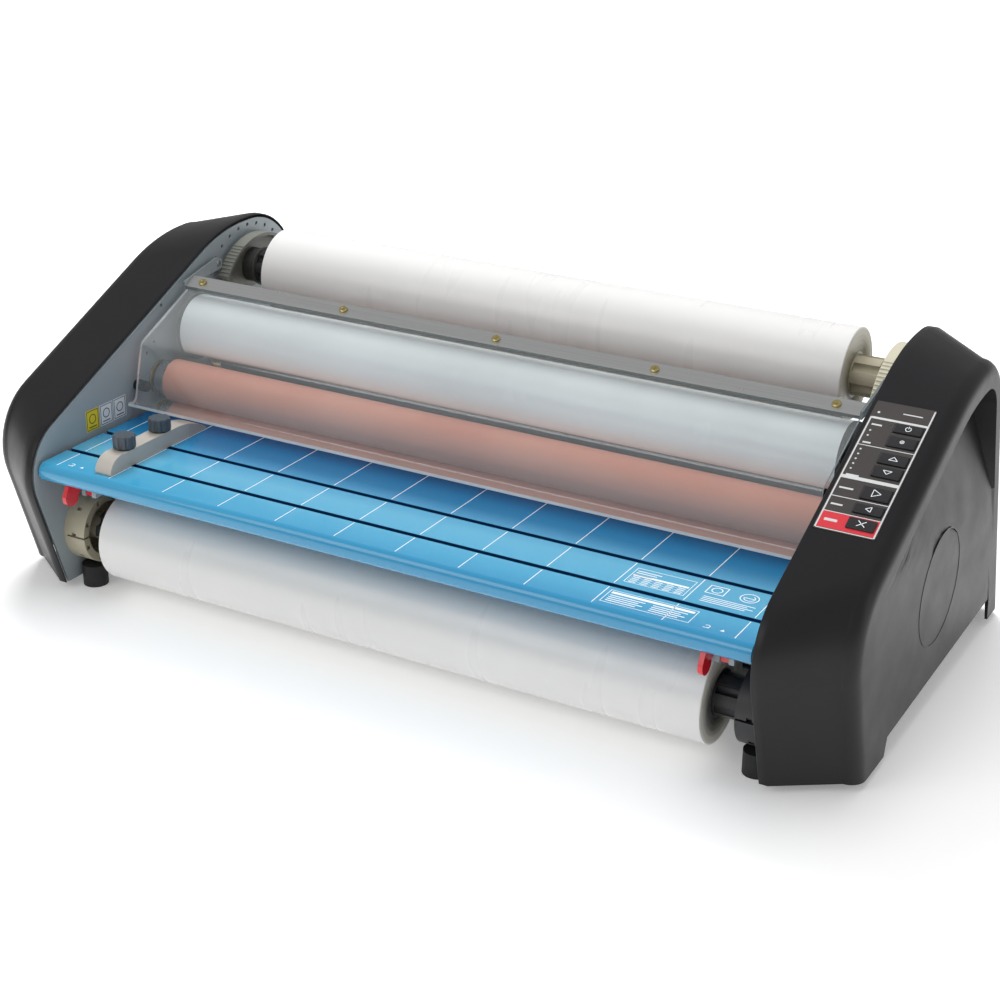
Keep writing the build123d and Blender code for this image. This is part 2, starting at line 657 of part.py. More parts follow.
def lower_holder(side):
    """A thick split ring on one frame, with square pockets in its rim and a bore for the core's journal."""
    outer = 35.0
    ring_body = tube(HOLDER_X, FRAME_X, LOWER_FILM, outer, 27.0)
    ring_body += tube(FRAME_X - 4, FRAME_X, LOWER_FILM, outer, FILM_JOURNAL + RUN_GAP)
    ring_body += tube(HOLDER_X, FRAME_X, LOWER_FILM, 13.0, FILM_JOURNAL + RUN_GAP)
    for turn in range(8):
        point = arc_of_points(LOWER_FILM, 31.0, 20 + 45 * turn, 21 + 45 * turn, 2)[0]
        ring_body -= Pos(HOLDER_X + 3, *point) * Box(8, 4.5, 4.5)
        rim = arc_of_points(LOWER_FILM, outer - 1, 42 + 45 * turn, 43 + 45 * turn, 2)[0]
        ring_body -= Pos(HOLDER_X + 13, *rim) * Box(5, 4.5, 4.5)
    gap = profile([(LOWER_FILM[0], LOWER_FILM[1] - 1), (LOWER_FILM[0] - 50, LOWER_FILM[1] - 1),
                   (LOWER_FILM[0] - 50, LOWER_FILM[1] + 1), (LOWER_FILM[0], LOWER_FILM[1] + 1)],
                  HOLDER_X - 1, FRAME_X - 4)
    ring_body -= gap - rod(HOLDER_X - 2, FRAME_X, LOWER_FILM, 20)
    return ring_body if side > 0 else mirror(ring_body, about=Plane.YZ)


def release_lever(side):
    """A ribbed thumb arc over the holder; it turns on the boss to let the roll's journal go."""
    x0, x1 = FRAME_X - 19, FRAME_X - 6
    first, last = 38.0, 150.0
    arc = arc_of_points(LATCH_CENTRE, LATCH_R, first, last, 3)
    inner = arc_of_points(LATCH_CENTRE, LATCH_R - 3, last, first, 3)
    plane = side_plane(x0)
    band = make_face(
        [ThreePointArc(*arc), Line(arc[2], inner[0]), ThreePointArc(*inner), Line(inner[2], arc[0])]
    )
    lever = extrude(plane * band, amount=x1 - x0, dir=(1, 0, 0))
    low, high = (92, 240), (140, 236)
    web = make_face([ThreePointArc(*arc), Line(arc[2], low), Line(low, high), Line(high, arc[0])])
    lever += extrude(side_plane(x1 - 3) * web, amount=3, dir=(1, 0, 0))
    lever += rod(x1 - 3, x1, UPPER_FILM, HOLDER_R + 6)
    for point in arc_of_points(LATCH_CENTRE, LATCH_R, 116, 148, 10):
        lever += rod(x0 + 0.5, x1, point, 0.9)
    lever -= rod(x0 - 1, x1 + 1, UPPER_FILM, HOLDER_R + RUN_GAP)
    return lever if side > 0 else mirror(lever, about=Plane.YZ)


# ---- feed table ----
def feed_table():
    """A thick plate with a bull nose, two T-slots and a lug for each latch."""
    z0, z1 = TABLE_TOP - TABLE_T, TABLE_TOP
    radius = 7.0
    face = make_face(
        [
            Line((TABLE_FRONT + radius, z0), (TABLE_BACK, z0)),
            Line((TABLE_BACK, z0), (TABLE_BACK, z1)),
            Line((TABLE_BACK, z1), (TABLE_FRONT + radius, z1)),
            ThreePointArc(
                (TABLE_FRONT + radius, z1), (TABLE_FRONT, (z0 + z1) / 2), (TABLE_FRONT + radius, z0)
            ),
        ]
    )
    table = extrude(side_plane(-TABLE_HALF) * face, amount=2 * TABLE_HALF, dir=(1, 0, 0))
    for y in SLOT_Y:
        mouth = (y - SLOT_MOUTH / 2, y + SLOT_MOUTH / 2)
        table -= block(-TABLE_HALF - 1, TABLE_HALF + 1, *mouth, z1 - 5, z1 + 1)
        table -= block(-TABLE_HALF - 1, TABLE_HALF + 1, y - 6, y + 6, z1 - 9, z1 - 3.5)
    table -= block(-TABLE_HALF + 30, TABLE_HALF - 30, -110, -70, z0 - 1, z0 + 10)
    for x in LATCH_X:
        lug = block(x + 4.3, x + 9, LATCH_PIVOT[0] - 5, LATCH_PIVOT[0] + 5, LATCH_PIVOT[1] - 5, z0 + 0.5)
        lug += block(x + 17, x + 21.7, LATCH_PIVOT[0] - 5, LATCH_PIVOT[0] + 5, LATCH_PIVOT[1] - 5, z0 + 0.5)
        table += lug - rod(x, x + 30, LATCH_PIVOT, 2 + RUN_GAP)
    return table


LATCH_X = (-340.0, 322.0)
LATCH_PIVOT = (-196.0, 117.0)


def table_latch(x):
    """A red lever: a drop-shaped finger tab on a cross pin, with a tongue between the table's lugs."""
    y, z = LATCH_PIVOT
    tab = make_face(
        [
            Line((y - 21, z + 9.5), (y - 26, z)),
            ThreePointArc((y - 26, z), (y - 17, z - 12), (y - 8, z - 2)),
            Line((y - 8, z - 2), (y + 3.5, z + 3)),
            Line((y + 3.5, z + 3), (y - 2, z + 8.5)),
            Line((y - 2, z + 8.5), (y - 21, z + 9.5)),
        ]
    )
    lever = extrude(side_plane(x - 1) * tab, amount=4.5, dir=(1, 0, 0))
    lever += rod(x - 1, x + 24, LATCH_PIVOT, 2.0)
    finger = [(y - 4, z - 4), (y + 16, z - 5), (y + 16, z - 1), (y + 4, z + 4), (y - 4, z + 4)]
    lever += profile(finger, x + 9.5, x + 16.5)
    return lever


def table_rail():
    """The ledge welded to the right frame that carries the table's end."""
    top = TABLE_TOP - TABLE_T - 0.1
    rail = block(FRAME_X - 16, FRAME_X, -170, -62, top - 2, top)
    rail += block(FRAME_X - 2, FRAME_X, -170, -62, top - 14, top)
    return rail


GUIDE_X = -296.0
GUIDE_HEIGHT = 16.0


def edge_guide():
    """A long arched fence across the table that lines up the sheet's edge."""
    z0 = TABLE_TOP + 0.2
    y0, y1 = -213.0, -68.0
    face = make_face(
        [
            Line((y0, z0), (y1, z0)),
            Line((y1, z0), (y1, z0 + 2)),
            ThreePointArc((y1, z0 + 2), (-88, z0 + 12), (-116, z0 + GUIDE_HEIGHT)),
            Line((-116, z0 + GUIDE_HEIGHT), (-192, z0 + GUIDE_HEIGHT)),
            ThreePointArc((-192, z0 + GUIDE_HEIGHT), (-208, z0 + 11), (y0, z0 + 3)),
            Line((y0, z0 + 3), (y0, z0)),
        ]
    )
    fence = extrude(side_plane(GUIDE_X - 9.5) * face, amount=19, dir=(1, 0, 0))
    for y in SLOT_Y:
        fence -= post(GUIDE_X, y, z0 - 1, z0 + 30, KNOB_STUD + 0.1)
        fence -= post(GUIDE_X, y, z0 + 9.3, z0 + 30, 9.0)
    return fence


KNOB_STUD = 2.5


def guide_knob(y):
    """A fluted knob with a threaded stud that pulls the T-nut up."""
    low = TABLE_TOP + 9.6
    knob = post(GUIDE_X, y, low, low + 8, 7.5) + post(GUIDE_X, y, low + 8, low + 20, 11.0)
    for turn in range(10):
        a = math.radians(36 * turn)
        knob -= post(GUIDE_X + 11.9 * math.cos(a), y + 11.9 * math.sin(a), low + 7, low + 21, 2.2)
    rim = knob.faces().sort_by(Axis.Z)[-1].edges()
    knob = chamfer(rim, 0.8)
    return knob + post(GUIDE_X, y, TABLE_TOP - 8, low, KNOB_STUD)


def tee_nuts():
    """The nuts in the T-slots under the guide."""
    made = []
    for y in SLOT_Y:
        nut = block(GUIDE_X - 9, GUIDE_X + 9, y - 5.6, y + 5.6, TABLE_TOP - 8.8, TABLE_TOP - 3.8)
        made.append(nut - post(GUIDE_X, y, TABLE_TOP - 12, TABLE_TOP, KNOB_STUD + RUN_GAP))
    return group(made)


# ---- heat shield ----
SHIELD_HALF = 361.0
SHIELD_BEND = (-71.0, 224.0)
SHIELD_LIP = (-85.5, 167.5)
LIP_FRONT = -96.0
SHIELD_REAR = 24.0


def shield_top(y):
    """Height of the clear sheet's upper face over y, behind its bend."""
    return SHIELD_BEND[1] + SLOPE * (y - SHIELD_BEND[0])


def shield_panel():
    """One clear sheet: sloping top, folded front and a forward lip."""
    t = SHIELD_T
    across = t / math.cos(math.radians(SLOPE_DEG))
    points = [
        (SHIELD_REAR, shield_top(SHIELD_REAR)),
        SHIELD_BEND,
        SHIELD_LIP,
        (LIP_FRONT, SHIELD_LIP[1]),
        (LIP_FRONT, SHIELD_LIP[1] - t),
        (SHIELD_LIP[0] + t * 0.8, SHIELD_LIP[1] - t),
        (SHIELD_BEND[0] + t * 0.75, SHIELD_BEND[1] - t * 0.75),
        (SHIELD_REAR, shield_top(SHIELD_REAR) - across),
    ]
    return profile(points, -SHIELD_HALF, SHIELD_HALF)


BAR_CENTRE_Y = 14.0
BAR_WIDTH = 17.0
BAR_THICK = 4.0
SCREW_X = (-344.5, -172.2, 0.0, 165.0, 338.0)


def bar_plane(x, lift):
    """The plane of the stiffening bar's underside at x, lifted."""
    normal = (0, -math.sin(math.radians(SLOPE_DEG)), math.cos(math.radians(SLOPE_DEG)))
    base = Vector(x, BAR_CENTRE_Y, shield_top(BAR_CENTRE_Y)) + Vector(*normal) * lift
    return Plane(origin=base, x_dir=(1, 0, 0), z_dir=normal)


def shield_bar():
    """The aluminium bar on the sheet and an arm at each end that reaches back to the pivot."""
    bar = extrude(bar_plane(0, 0.0) * Rectangle(2 * SHIELD_HALF + 2, BAR_WIDTH), amount=BAR_THICK)
    y, z = BAR_CENTRE_Y, shield_top(BAR_CENTRE_Y)
    py, pz = SHIELD_PIVOT
    root = [(y - 10, z - 3), (y - 9, z + 4)]
    tip = [(py - 2, pz + 7), (py + 6, pz + 3), (py + 5, pz - 6), (py - 6, pz - 7)]
    arm = profile(root + tip, SHIELD_HALF + 1, SHIELD_HALF + 3.5)
    arm -= rod(SHIELD_HALF, SHIELD_HALF + 5, SHIELD_PIVOT, PIVOT_R + RUN_GAP)
    bar += arm
    bar += mirror(arm, about=Plane.YZ)
    for x in SCREW_X:
        bar -= extrude(bar_plane(x, -1) * Circle(1.6), amount=BAR_THICK + 3)
    return bar


def shield_screws():
    """Pan-head screws through the bar into the sheet."""
    made = []
    for x in SCREW_X:
        screw = extrude(bar_plane(x, 0) * Circle(1.6), amount=BAR_THICK)
        head = extrude(bar_plane(x, BAR_THICK) * Circle(4.2), amount=2.4)
        head = fillet(head.faces().sort_by(Axis((0, 0, 0), slope_plane(0, 0).z_dir))[-1].edges(), 1.2)
        head -= extrude(bar_plane(x, BAR_THICK + 1.4) * Rectangle(4.4, 0.9), amount=3)
        head -= extrude(bar_plane(x, BAR_THICK + 1.4) * Rectangle(0.9, 4.4), amount=3)
        made.append(screw + head)
    return group(made)


def pivot_pin():
    """The shield's shouldered pivot pin in the right frame."""
    pin = rod(SHIELD_HALF + 0.5, PLATE_OUT, SHIELD_PIVOT, PIVOT_R)
    pin += rod(PLATE_OUT, PLATE_OUT + 2, SHIELD_PIVOT, 5.0)
    pin += rod(SHIELD_HALF + 3.8, FRAME_X, SHIELD_PIVOT, 4.5)
    return pin


def shield_stops():
    """Rubber stops on the frames, behind the shield's folded front."""
    return both_sides(rod(FRAME_X - 14, FRAME_X, (-71.0, 178.0), 5.5))


# ---- write every node ----
def save_all():
    right = right_cover_solid()
    save(mirror(right, about=Plane.YZ), "left_cover")
    save(right - panel_opening(), "right_cover")
    save(control_panel(), "control_panel")
    save(control_board(), "control_board")
    for name, share, height in BUTTONS:
        save(button(share, height), name)
    save(right_frame(), "right_side_frame")
    save(left_frame(), "left_side_frame")
    save(feet(), "rubber_feet")
    save(cross_bars(), "cross_bars")
    save(frame_fasteners(), "frame_fasteners")
    save(roller_bushes(), "roller_bushes")
    save(roller_core(UPPER_HEAT), "upper_heat_roller")
    save(roller_sleeve(UPPER_HEAT), "upper_heat_sleeve")
    save(roller_core(LOWER_HEAT), "lower_heat_roller")
    save(roller_sleeve(LOWER_HEAT), "lower_heat_sleeve")
    save(pull_roller(UPPER_PULL), "upper_pull_roller")
    save(pull_roller(LOWER_PULL), "lower_pull_roller")
    gears()
    save(gear_motor(), "gear_motor")
    save(pressure_springs(), "pressure_springs")
    save(heater_lamps(), "heater_lamps")
    save(heater_hood(), "heater_hood")
    save(hood_ends(), "hood_ends")
    save(base_pan(), "base_pan")
    save(group([power_inlet(), switch_body()]), "inlet_and_switch_bodies")
    save(power_rocker(), "power_rocker")
    save(fan_frame(), "fan_frame")
    save(fan_rotor(), "fan_rotor")
    save(power_board(), "power_board")
    save(film_roll(UPPER_FILM, UPPER_FILM_R), "upper_film_roll")
    save(film_core(UPPER_FILM), "upper_film_core")
    save(film_roll(LOWER_FILM, LOWER_FILM_R), "lower_film_roll")
    save(film_core(LOWER_FILM), "lower_film_core")
    save(upper_holders(), "upper_roll_holders")
    save(lower_holder(-1), "lower_left_holder")
    save(lower_holder(1), "lower_right_holder")
    save(release_lever(-1), "left_release_lever")
    save(release_lever(1), "right_release_lever")
    save(feed_table(), "feed_table")
    save(table_latch(LATCH_X[0]), "left_table_latch")
    save(table_latch(LATCH_X[1]), "right_table_latch")
    save(edge_guide(), "edge_guide")
    save(guide_knob(SLOT_Y[0]), "front_guide_knob")
    save(guide_knob(SLOT_Y[1]), "rear_guide_knob")
    save(tee_nuts(), "guide_tee_nuts")
    save(shield_panel(), "shield_panel")
    save(shield_bar(), "shield_bar")
    save(shield_screws(), "shield_screws")
    save(shield_stops(), "shield_stops")


save_all()
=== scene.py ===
import math

import bmesh
import bpy
from mathutils import Matrix, Vector


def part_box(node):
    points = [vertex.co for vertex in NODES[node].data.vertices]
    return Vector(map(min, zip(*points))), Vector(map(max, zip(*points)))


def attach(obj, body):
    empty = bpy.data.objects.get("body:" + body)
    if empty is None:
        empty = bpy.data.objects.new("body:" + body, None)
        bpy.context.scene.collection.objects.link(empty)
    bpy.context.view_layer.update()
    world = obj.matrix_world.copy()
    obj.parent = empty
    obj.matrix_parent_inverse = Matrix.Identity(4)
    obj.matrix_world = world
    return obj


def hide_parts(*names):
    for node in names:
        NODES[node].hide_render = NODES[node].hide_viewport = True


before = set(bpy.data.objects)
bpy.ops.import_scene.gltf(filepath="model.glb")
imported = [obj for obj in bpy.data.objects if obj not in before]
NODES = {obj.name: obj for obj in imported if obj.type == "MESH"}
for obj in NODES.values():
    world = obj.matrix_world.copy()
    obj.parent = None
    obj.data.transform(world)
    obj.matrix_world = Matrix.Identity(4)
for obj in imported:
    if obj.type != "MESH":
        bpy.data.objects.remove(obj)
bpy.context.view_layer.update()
MM = 0.001

# ---------------------------------------------------------------- places taken from the frame
TABLE_LO, TABLE_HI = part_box("feed_table")
TABLE_Z = TABLE_HI.z
GRID = 63.5 * MM             # pitch of the lines printed on the table
FIRST_LINE = -5.5 * GRID     # the first printed line; the twelfth is at its mirror image
TABLE_SLOTS = (-180 * MM, -127.2 * MM)   # the table's two T-slots


# ================================================================ node materials
class Nodes:
    """Short calls for building one material's node tree."""

    def __init__(self, name):
        self.material = bpy.data.materials.new(name)
        self.material.use_nodes = True
        self.tree = self.material.node_tree
        self.tree.nodes.clear()
        self.out = self.add("ShaderNodeOutputMaterial")
        self.coords = self.add("ShaderNodeTexCoord").outputs["Object"]

    def add(self, kind, **settings):
        """A new node with the given settings."""
        node = self.tree.nodes.new(kind)
        for key, value in settings.items():
            setattr(node, key, value)
        return node

    def wire(self, value, socket):
        """Joins a socket to a socket, or sets its value."""
        if hasattr(value, "is_output"):
            self.tree.links.new(value, socket)
        else:
            socket.default_value = value

    def noise(self, scale, detail=3.0, rough=0.55, stretch=None):
        """Noise from 0 to 1; stretch scales each axis first, which draws it out into lines."""
        coords = self.coords
        if stretch:
            mapping = self.add("ShaderNodeMapping")
            self.wire(coords, mapping.inputs["Vector"])
            mapping.inputs["Scale"].default_value = stretch
            coords = mapping.outputs["Vector"]
        node = self.add("ShaderNodeTexNoise")
        self.wire(coords, node.inputs["Vector"])
        node.inputs["Scale"].default_value = scale
        node.inputs["Detail"].default_value = detail
        node.inputs["Roughness"].default_value = rough
        return node.outputs["Fac"]

    def math(self, operation, a, b=0.0, c=0.0, clamp=False):
        """One sum of up to three values."""
        node = self.add("ShaderNodeMath", operation=operation, use_clamp=clamp)
        for value, socket in zip((a, b, c), node.inputs):
            self.wire(value, socket)
        return node.outputs[0]

    def span(self, value, low, high, to_low=0.0, to_high=1.0):
        """Maps low..high onto to_low..to_high, held at the ends."""
        node = self.add("ShaderNodeMapRange")
        inputs = {"Value": value, "From Min": low, "From Max": high, "To Min": to_low, "To Max": to_high}
        for key, given in inputs.items():
            self.wire(given, node.inputs[key])
        return node.outputs[0]

    def ramp(self, value, stops):
        """A colour that changes with the value, from a list of (place, colour)."""
        node = self.add("ShaderNodeValToRGB")
        self.wire(value, node.inputs["Fac"])
        ends = node.color_ramp.elements
        for i, (place, colour) in enumerate(stops):
            stop = ends[i] if i < 2 else ends.new(place)
            stop.position = place
            stop.color = (*colour, 1)
        return node.outputs["Color"]

    def mix(self, factor, a, b):
        """Blends two colours."""
        node = self.add("ShaderNodeMix", data_type="RGBA")
        for value, socket in ((factor, node.inputs[0]), (a, node.inputs[6]), (b, node.inputs[7])):
            self.wire((*value, 1) if isinstance(value, tuple) and len(value) == 3 else value, socket)
        return node.outputs[2]

    def axis(self, letter):
        """One coordinate of the shaded point, in metres."""
        node = self.add("ShaderNodeSeparateXYZ")
        self.wire(self.coords, node.inputs[0])
        return node.outputs[letter]

    def bump(self, height, strength, distance):
        """A normal tilted by a height pattern."""
        node = self.add("ShaderNodeBump")
        node.inputs["Strength"].default_value = strength
        node.inputs["Distance"].default_value = distance
        self.wire(height, node.inputs["Height"])
        return node.outputs["Normal"]

    def finish(self, normal=None, **values):
        """Ends the material with one Principled shader; underscores in names stand for spaces."""
        shader = self.add("ShaderNodeBsdfPrincipled")
        for key, value in values.items():
            name = key.replace("_", " ")
            if isinstance(value, tuple) and shader.inputs[name].type == "RGBA":
                value = (*value, 1)
            self.wire(value, shader.inputs[name])
        if normal is not None:
            self.wire(normal, shader.inputs["Normal"])
        self.wire(shader.outputs[0], self.out.inputs["Surface"])
        return self.material


def moulded(name, colour, rough=0.45, grain=0.00012, coat=0.0, vary=0.12):
    """Moulded plastic: spark-eroded grain, faint colour drift and uneven gloss."""
    n = Nodes(name)
    drift = n.noise(9, 4)
    fine = n.noise(1500, 2, 0.6)
    dark = tuple(c * (1 - vary) for c in colour)
    light = tuple(min(1, c * (1 + vary)) for c in colour)
    tone = n.mix(n.span(drift, 0.3, 0.7), dark, light)
    gloss = n.span(n.noise(40, 5), 0.25, 0.75, rough - 0.06, rough + 0.07)
    return n.finish(n.bump(fine, 0.35, grain), Base_Color=tone, Roughness=gloss, Coat_Weight=coat,
                    Coat_Roughness=0.25, Specular_IOR_Level=0.5)


def painted(name, colour, rough=0.4, peel_depth=0.25):
    """Powder coat: soft orange peel with small tone changes and dust in the gloss."""
    n = Nodes(name)
    peel = n.noise(420, 2)
    dark, light = tuple(c * 0.9 for c in colour), tuple(min(1, c * 1.06) for c in colour)
    tone = n.mix(n.span(n.noise(6, 5), 0.3, 0.7), dark, light)
    gloss = n.span(n.noise(25, 6), 0.3, 0.7, rough - 0.05, rough + 0.08)
    return n.finish(n.bump(peel, peel_depth, 0.00015), Base_Color=tone, Roughness=gloss)


def turned(name, colour, rough=0.28, along=(4.0, 900.0, 900.0)):
    """Turned or drawn metal with fine lines and a few worn patches."""
    n = Nodes(name)
    lines = n.noise(1.0, 4, 0.7, along)
    wear = n.noise(30, 5)
    tone = n.mix(n.span(lines, 0.3, 0.7), tuple(c * 0.8 for c in colour), colour)
    gloss = n.span(wear, 0.3, 0.7, rough - 0.08, rough + 0.1)
    return n.finish(n.bump(lines, 0.2, 0.00006), Base_Color=tone, Roughness=gloss, Metallic=1.0)


def rubber(name, colour, rough=0.6, grain=0.0002):
    """Rubber with a ground surface."""
    n = Nodes(name)
    ground = n.noise(700, 3, 0.6, (0.35, 1, 1))
    dark, light = tuple(c * 0.88 for c in colour), tuple(min(1, c * 1.08) for c in colour)
    tone = n.mix(n.span(n.noise(12, 5), 0.3, 0.7), dark, light)
    gloss = n.span(n.noise(60, 4), 0.3, 0.7, rough - 0.08, rough + 0.08)
    return n.finish(n.bump(ground, 0.3, grain), Base_Color=tone, Roughness=gloss)


def cover_plastic():
    """The covers' charcoal plastic: fine grain, a soft sheen and faint flow marks."""
    n = Nodes("cover_charcoal")
    drift = n.noise(5, 5, 0.5, (1, 1, 0.5))
    grain = n.noise(2200, 2, 0.6)
    tone = n.mix(n.span(drift, 0.3, 0.7), (0.008, 0.008, 0.009), (0.012, 0.012, 0.0135))
    gloss = n.span(n.noise(30, 6), 0.25, 0.75, 0.36, 0.45)
    return n.finish(n.bump(grain, 0.45, 0.00010), Base_Color=tone, Roughness=gloss, Specular_IOR_Level=0.26,
                    Coat_Weight=0.05, Coat_Roughness=0.3)


def film_wound():
    """Milky wound film: glossy outside with faint wraps, and close rings on the end faces."""
    n = Nodes("film_milky")
    streak = n.noise(1.0, 2, 0.5, (2, 14, 14))
    wrap = n.noise(1.0, 2, 0.5, (35, 5, 5))
    tone = n.mix(n.span(streak, 0.3, 0.7), (0.90, 0.895, 0.86), (0.96, 0.955, 0.93))
    gloss = n.span(wrap, 0.3, 0.7, 0.24, 0.4)
    return n.finish(n.bump(wrap, 0.05, 0.0004), Base_Color=tone, Roughness=gloss, Subsurface_Weight=0.35,
                    Subsurface_Radius=(0.02, 0.02, 0.018), Subsurface_Scale=0.5, Coat_Weight=0.25,
                    Coat_Roughness=0.2)


def film_ends(name, axis_y, axis_z):
    """The end face of a wound roll, with one fine ring per few wraps."""
    n = Nodes(name)
    y = n.math("SUBTRACT", n.axis("Y"), axis_y)
    z = n.math("SUBTRACT", n.axis("Z"), axis_z)
    radius = n.math("SQRT", n.math("ADD", n.math("MULTIPLY", y, y), n.math("MULTIPLY", z, z)))
    fine = n.math("SINE", n.math("MULTIPLY", radius, 9000.0))
    coarse = n.math("SINE", n.math("MULTIPLY", radius, 1370.0))
    rings = n.math("ADD", n.math("MULTIPLY", fine, 0.4), coarse)
    tone = n.mix(n.span(rings, -1.4, 1.4), (0.80, 0.765, 0.66), (0.90, 0.87, 0.78))
    return n.finish(n.bump(rings, 0.3, 0.0002), Base_Color=tone, Roughness=0.5, Subsurface_Weight=0.2,
                    Subsurface_Radius=(0.01, 0.01, 0.008), Subsurface_Scale=0.4)


def silicone():
    """The heat roller's salmon silicone, ground and slightly dusty."""
    n = Nodes("silicone_salmon")
    ground = n.noise(1.0, 4, 0.6, (60, 900, 900))
    tone = n.mix(n.span(n.noise(7, 5), 0.3, 0.7), (0.66, 0.245, 0.165), (0.76, 0.33, 0.235))
    gloss = n.span(n.noise(50, 4), 0.3, 0.7, 0.42, 0.56)
    return n.finish(n.bump(ground, 0.2, 0.00012), Base_Color=tone, Roughness=gloss, Subsurface_Weight=0.08,
                    Subsurface_Radius=(0.01, 0.004, 0.003), Subsurface_Scale=0.3)


def clear_acrylic():
    """Thin clear sheet: mostly see-through, with a mirror-like gleam that grows at grazing angles."""
    n = Nodes("acrylic_clear")
    smear = n.noise(6, 6, 0.6, (0.4, 3, 3))
    weight = n.add("ShaderNodeLayerWeight")
    weight.inputs["Blend"].default_value = 0.5
    grazing = n.math("POWER", weight.outputs["Facing"], 5.0)
    mirror = n.math("MULTIPLY_ADD", grazing, 0.9, 0.05, clamp=True)
    gloss = n.add("ShaderNodeBsdfGlossy")
    n.wire((0.95, 0.97, 1.0, 1), gloss.inputs["Color"])
    n.wire(n.span(smear, 0.3, 0.7, 0.03, 0.10), gloss.inputs["Roughness"])
    through = n.add("ShaderNodeBsdfTransparent")
    n.wire((0.93, 0.95, 0.95, 1), through.inputs["Color"])
    haze = n.add("ShaderNodeBsdfDiffuse")
    n.wire((0.9, 0.92, 0.93, 1), haze.inputs["Color"])
    body = n.add("ShaderNodeMixShader")
    n.wire(n.span(smear, 0.35, 0.75, 0.05, 0.10), body.inputs[0])
    n.wire(through.outputs[0], body.inputs[1])
    n.wire(haze.outputs[0], body.inputs[2])
    mixed = n.add("ShaderNodeMixShader")
    n.wire(mirror, mixed.inputs[0])
    n.wire(body.outputs[0], mixed.inputs[1])
    n.wire(gloss.outputs[0], mixed.inputs[2])
    n.wire(mixed.outputs[0], n.out.inputs["Surface"])
    return n.material


def acrylic_edge():
    """The saw-cut, polished edge of the clear sheet, coloured near-white as a painted highlight for the light
    it gathers.
    """
    n = Nodes("acrylic_edge")
    saw = n.noise(1.0, 3, 0.6, (900, 900, 900))
    # painted highlight: the near-white tone stands in for light caught in the edge
    tone = n.mix(n.span(n.noise(30, 4), 0.3, 0.7), (0.72, 0.78, 0.80), (0.93, 0.96, 0.97))
    return n.finish(n.bump(saw, 0.2, 0.0001), Base_Color=tone, Roughness=0.2, Transmission_Weight=0.35,
                    IOR=1.49)


def table_print():
    """The table's blue laminate under a gloss coat, with painted light and shade: paler towards the front and
    darker towards the back, where it runs under the shield and rollers, shifting a little from side to side,
    and dark inside the T-slots as painted shade.
    """
    n = Nodes("table_blue")
    y = n.axis("Y")
    x = n.axis("X")
    along = n.span(y, TABLE_LO.y, TABLE_HI.y)
    painted_shade_slant = n.math("ADD", along, n.math("MULTIPLY", x, -0.25))
    mottle = n.math("MULTIPLY", n.math("SUBTRACT", n.noise(3.5, 3), 0.5), 0.10)
    place = n.math("ADD", painted_shade_slant, mottle, clamp=True)
    # painted light and shade: the blue is lightest through the middle and darkens towards the back, where
    # shade falls under the shield and rollers
    tone = n.ramp(place, [(0.0, (0.025, 0.26, 0.48)), (0.12, (0.04, 0.32, 0.54)), (0.45, (0.09, 0.38, 0.58)),
                          (0.72, (0.006, 0.22, 0.46)), (1.0, (0.0, 0.13, 0.34))])
    gloss = n.span(n.noise(22, 6), 0.3, 0.7, 0.16, 0.26)
    # painted shade: faces sunk below the table top within 8 mm of each T-slot are coloured dark navy
    sunk = n.math("LESS_THAN", n.axis("Z"), TABLE_Z - 0.3 * MM)
    for slot_y in TABLE_SLOTS:
        near = n.math("LESS_THAN", n.math("ABSOLUTE", n.math("SUBTRACT", y, slot_y)), 8 * MM)
        tone = n.mix(n.math("MULTIPLY", near, sunk), tone, (0.006, 0.04, 0.13))
    return n.finish(n.bump(n.noise(260, 2), 0.08, 0.0001), Base_Color=tone, Roughness=gloss, Coat_Weight=0.5,
                    Coat_Roughness=0.08)


def ink(name, colour, rough=0.4):
    """Screen-printed ink with slightly uneven cover."""
    n = Nodes(name)
    cover = n.noise(350, 4)
    tone = n.mix(n.span(cover, 0.3, 0.7), tuple(c * 0.93 for c in colour), colour)
    return n.finish(n.bump(cover, 0.1, 0.00003), Base_Color=tone, Roughness=rough)


def circuit_board():
    """Green solder resist with a fine pattern of tracks."""
    n = Nodes("board_green")
    brick = n.add("ShaderNodeTexVoronoi", feature="F1", distance="MANHATTAN")
    n.wire(n.coords, brick.inputs["Vector"])
    brick.inputs["Scale"].default_value = 260
    tracks = n.math("GREATER_THAN", brick.outputs["Distance"], 0.55)
    tone = n.mix(tracks, (0.01, 0.09, 0.045), (0.03, 0.2, 0.09))
    return n.finish(n.bump(tracks, 0.2, 0.0001), Base_Color=tone, Roughness=0.35, Coat_Weight=0.4)


def floor_finish():
    """The studio floor: a pale sheet with the faintest tone, lit by a painted glow that is weaker near the
    machine and stronger further out.
    """
    n = Nodes("studio_floor")
    tone = n.mix(n.span(n.noise(0.8, 3), 0.3, 0.7), (0.93, 0.93, 0.93), (0.96, 0.96, 0.96))
    # painted light: the floor glows, weakly within 0.7 m of the middle and rising to its full glow at 3 m
    x, y = n.axis("X"), n.axis("Y")
    away = n.math("SQRT", n.math("ADD", n.math("MULTIPLY", x, x), n.math("MULTIPLY", y, y)))
    painted_glow = n.span(away, 0.7, 3.0, 0.22, 0.65)
    return n.finish(n.bump(n.noise(200, 2), 0.02, 0.0001), Base_Color=tone, Roughness=0.7,
                    Emission_Color=(1, 1, 1), Emission_Strength=painted_glow)


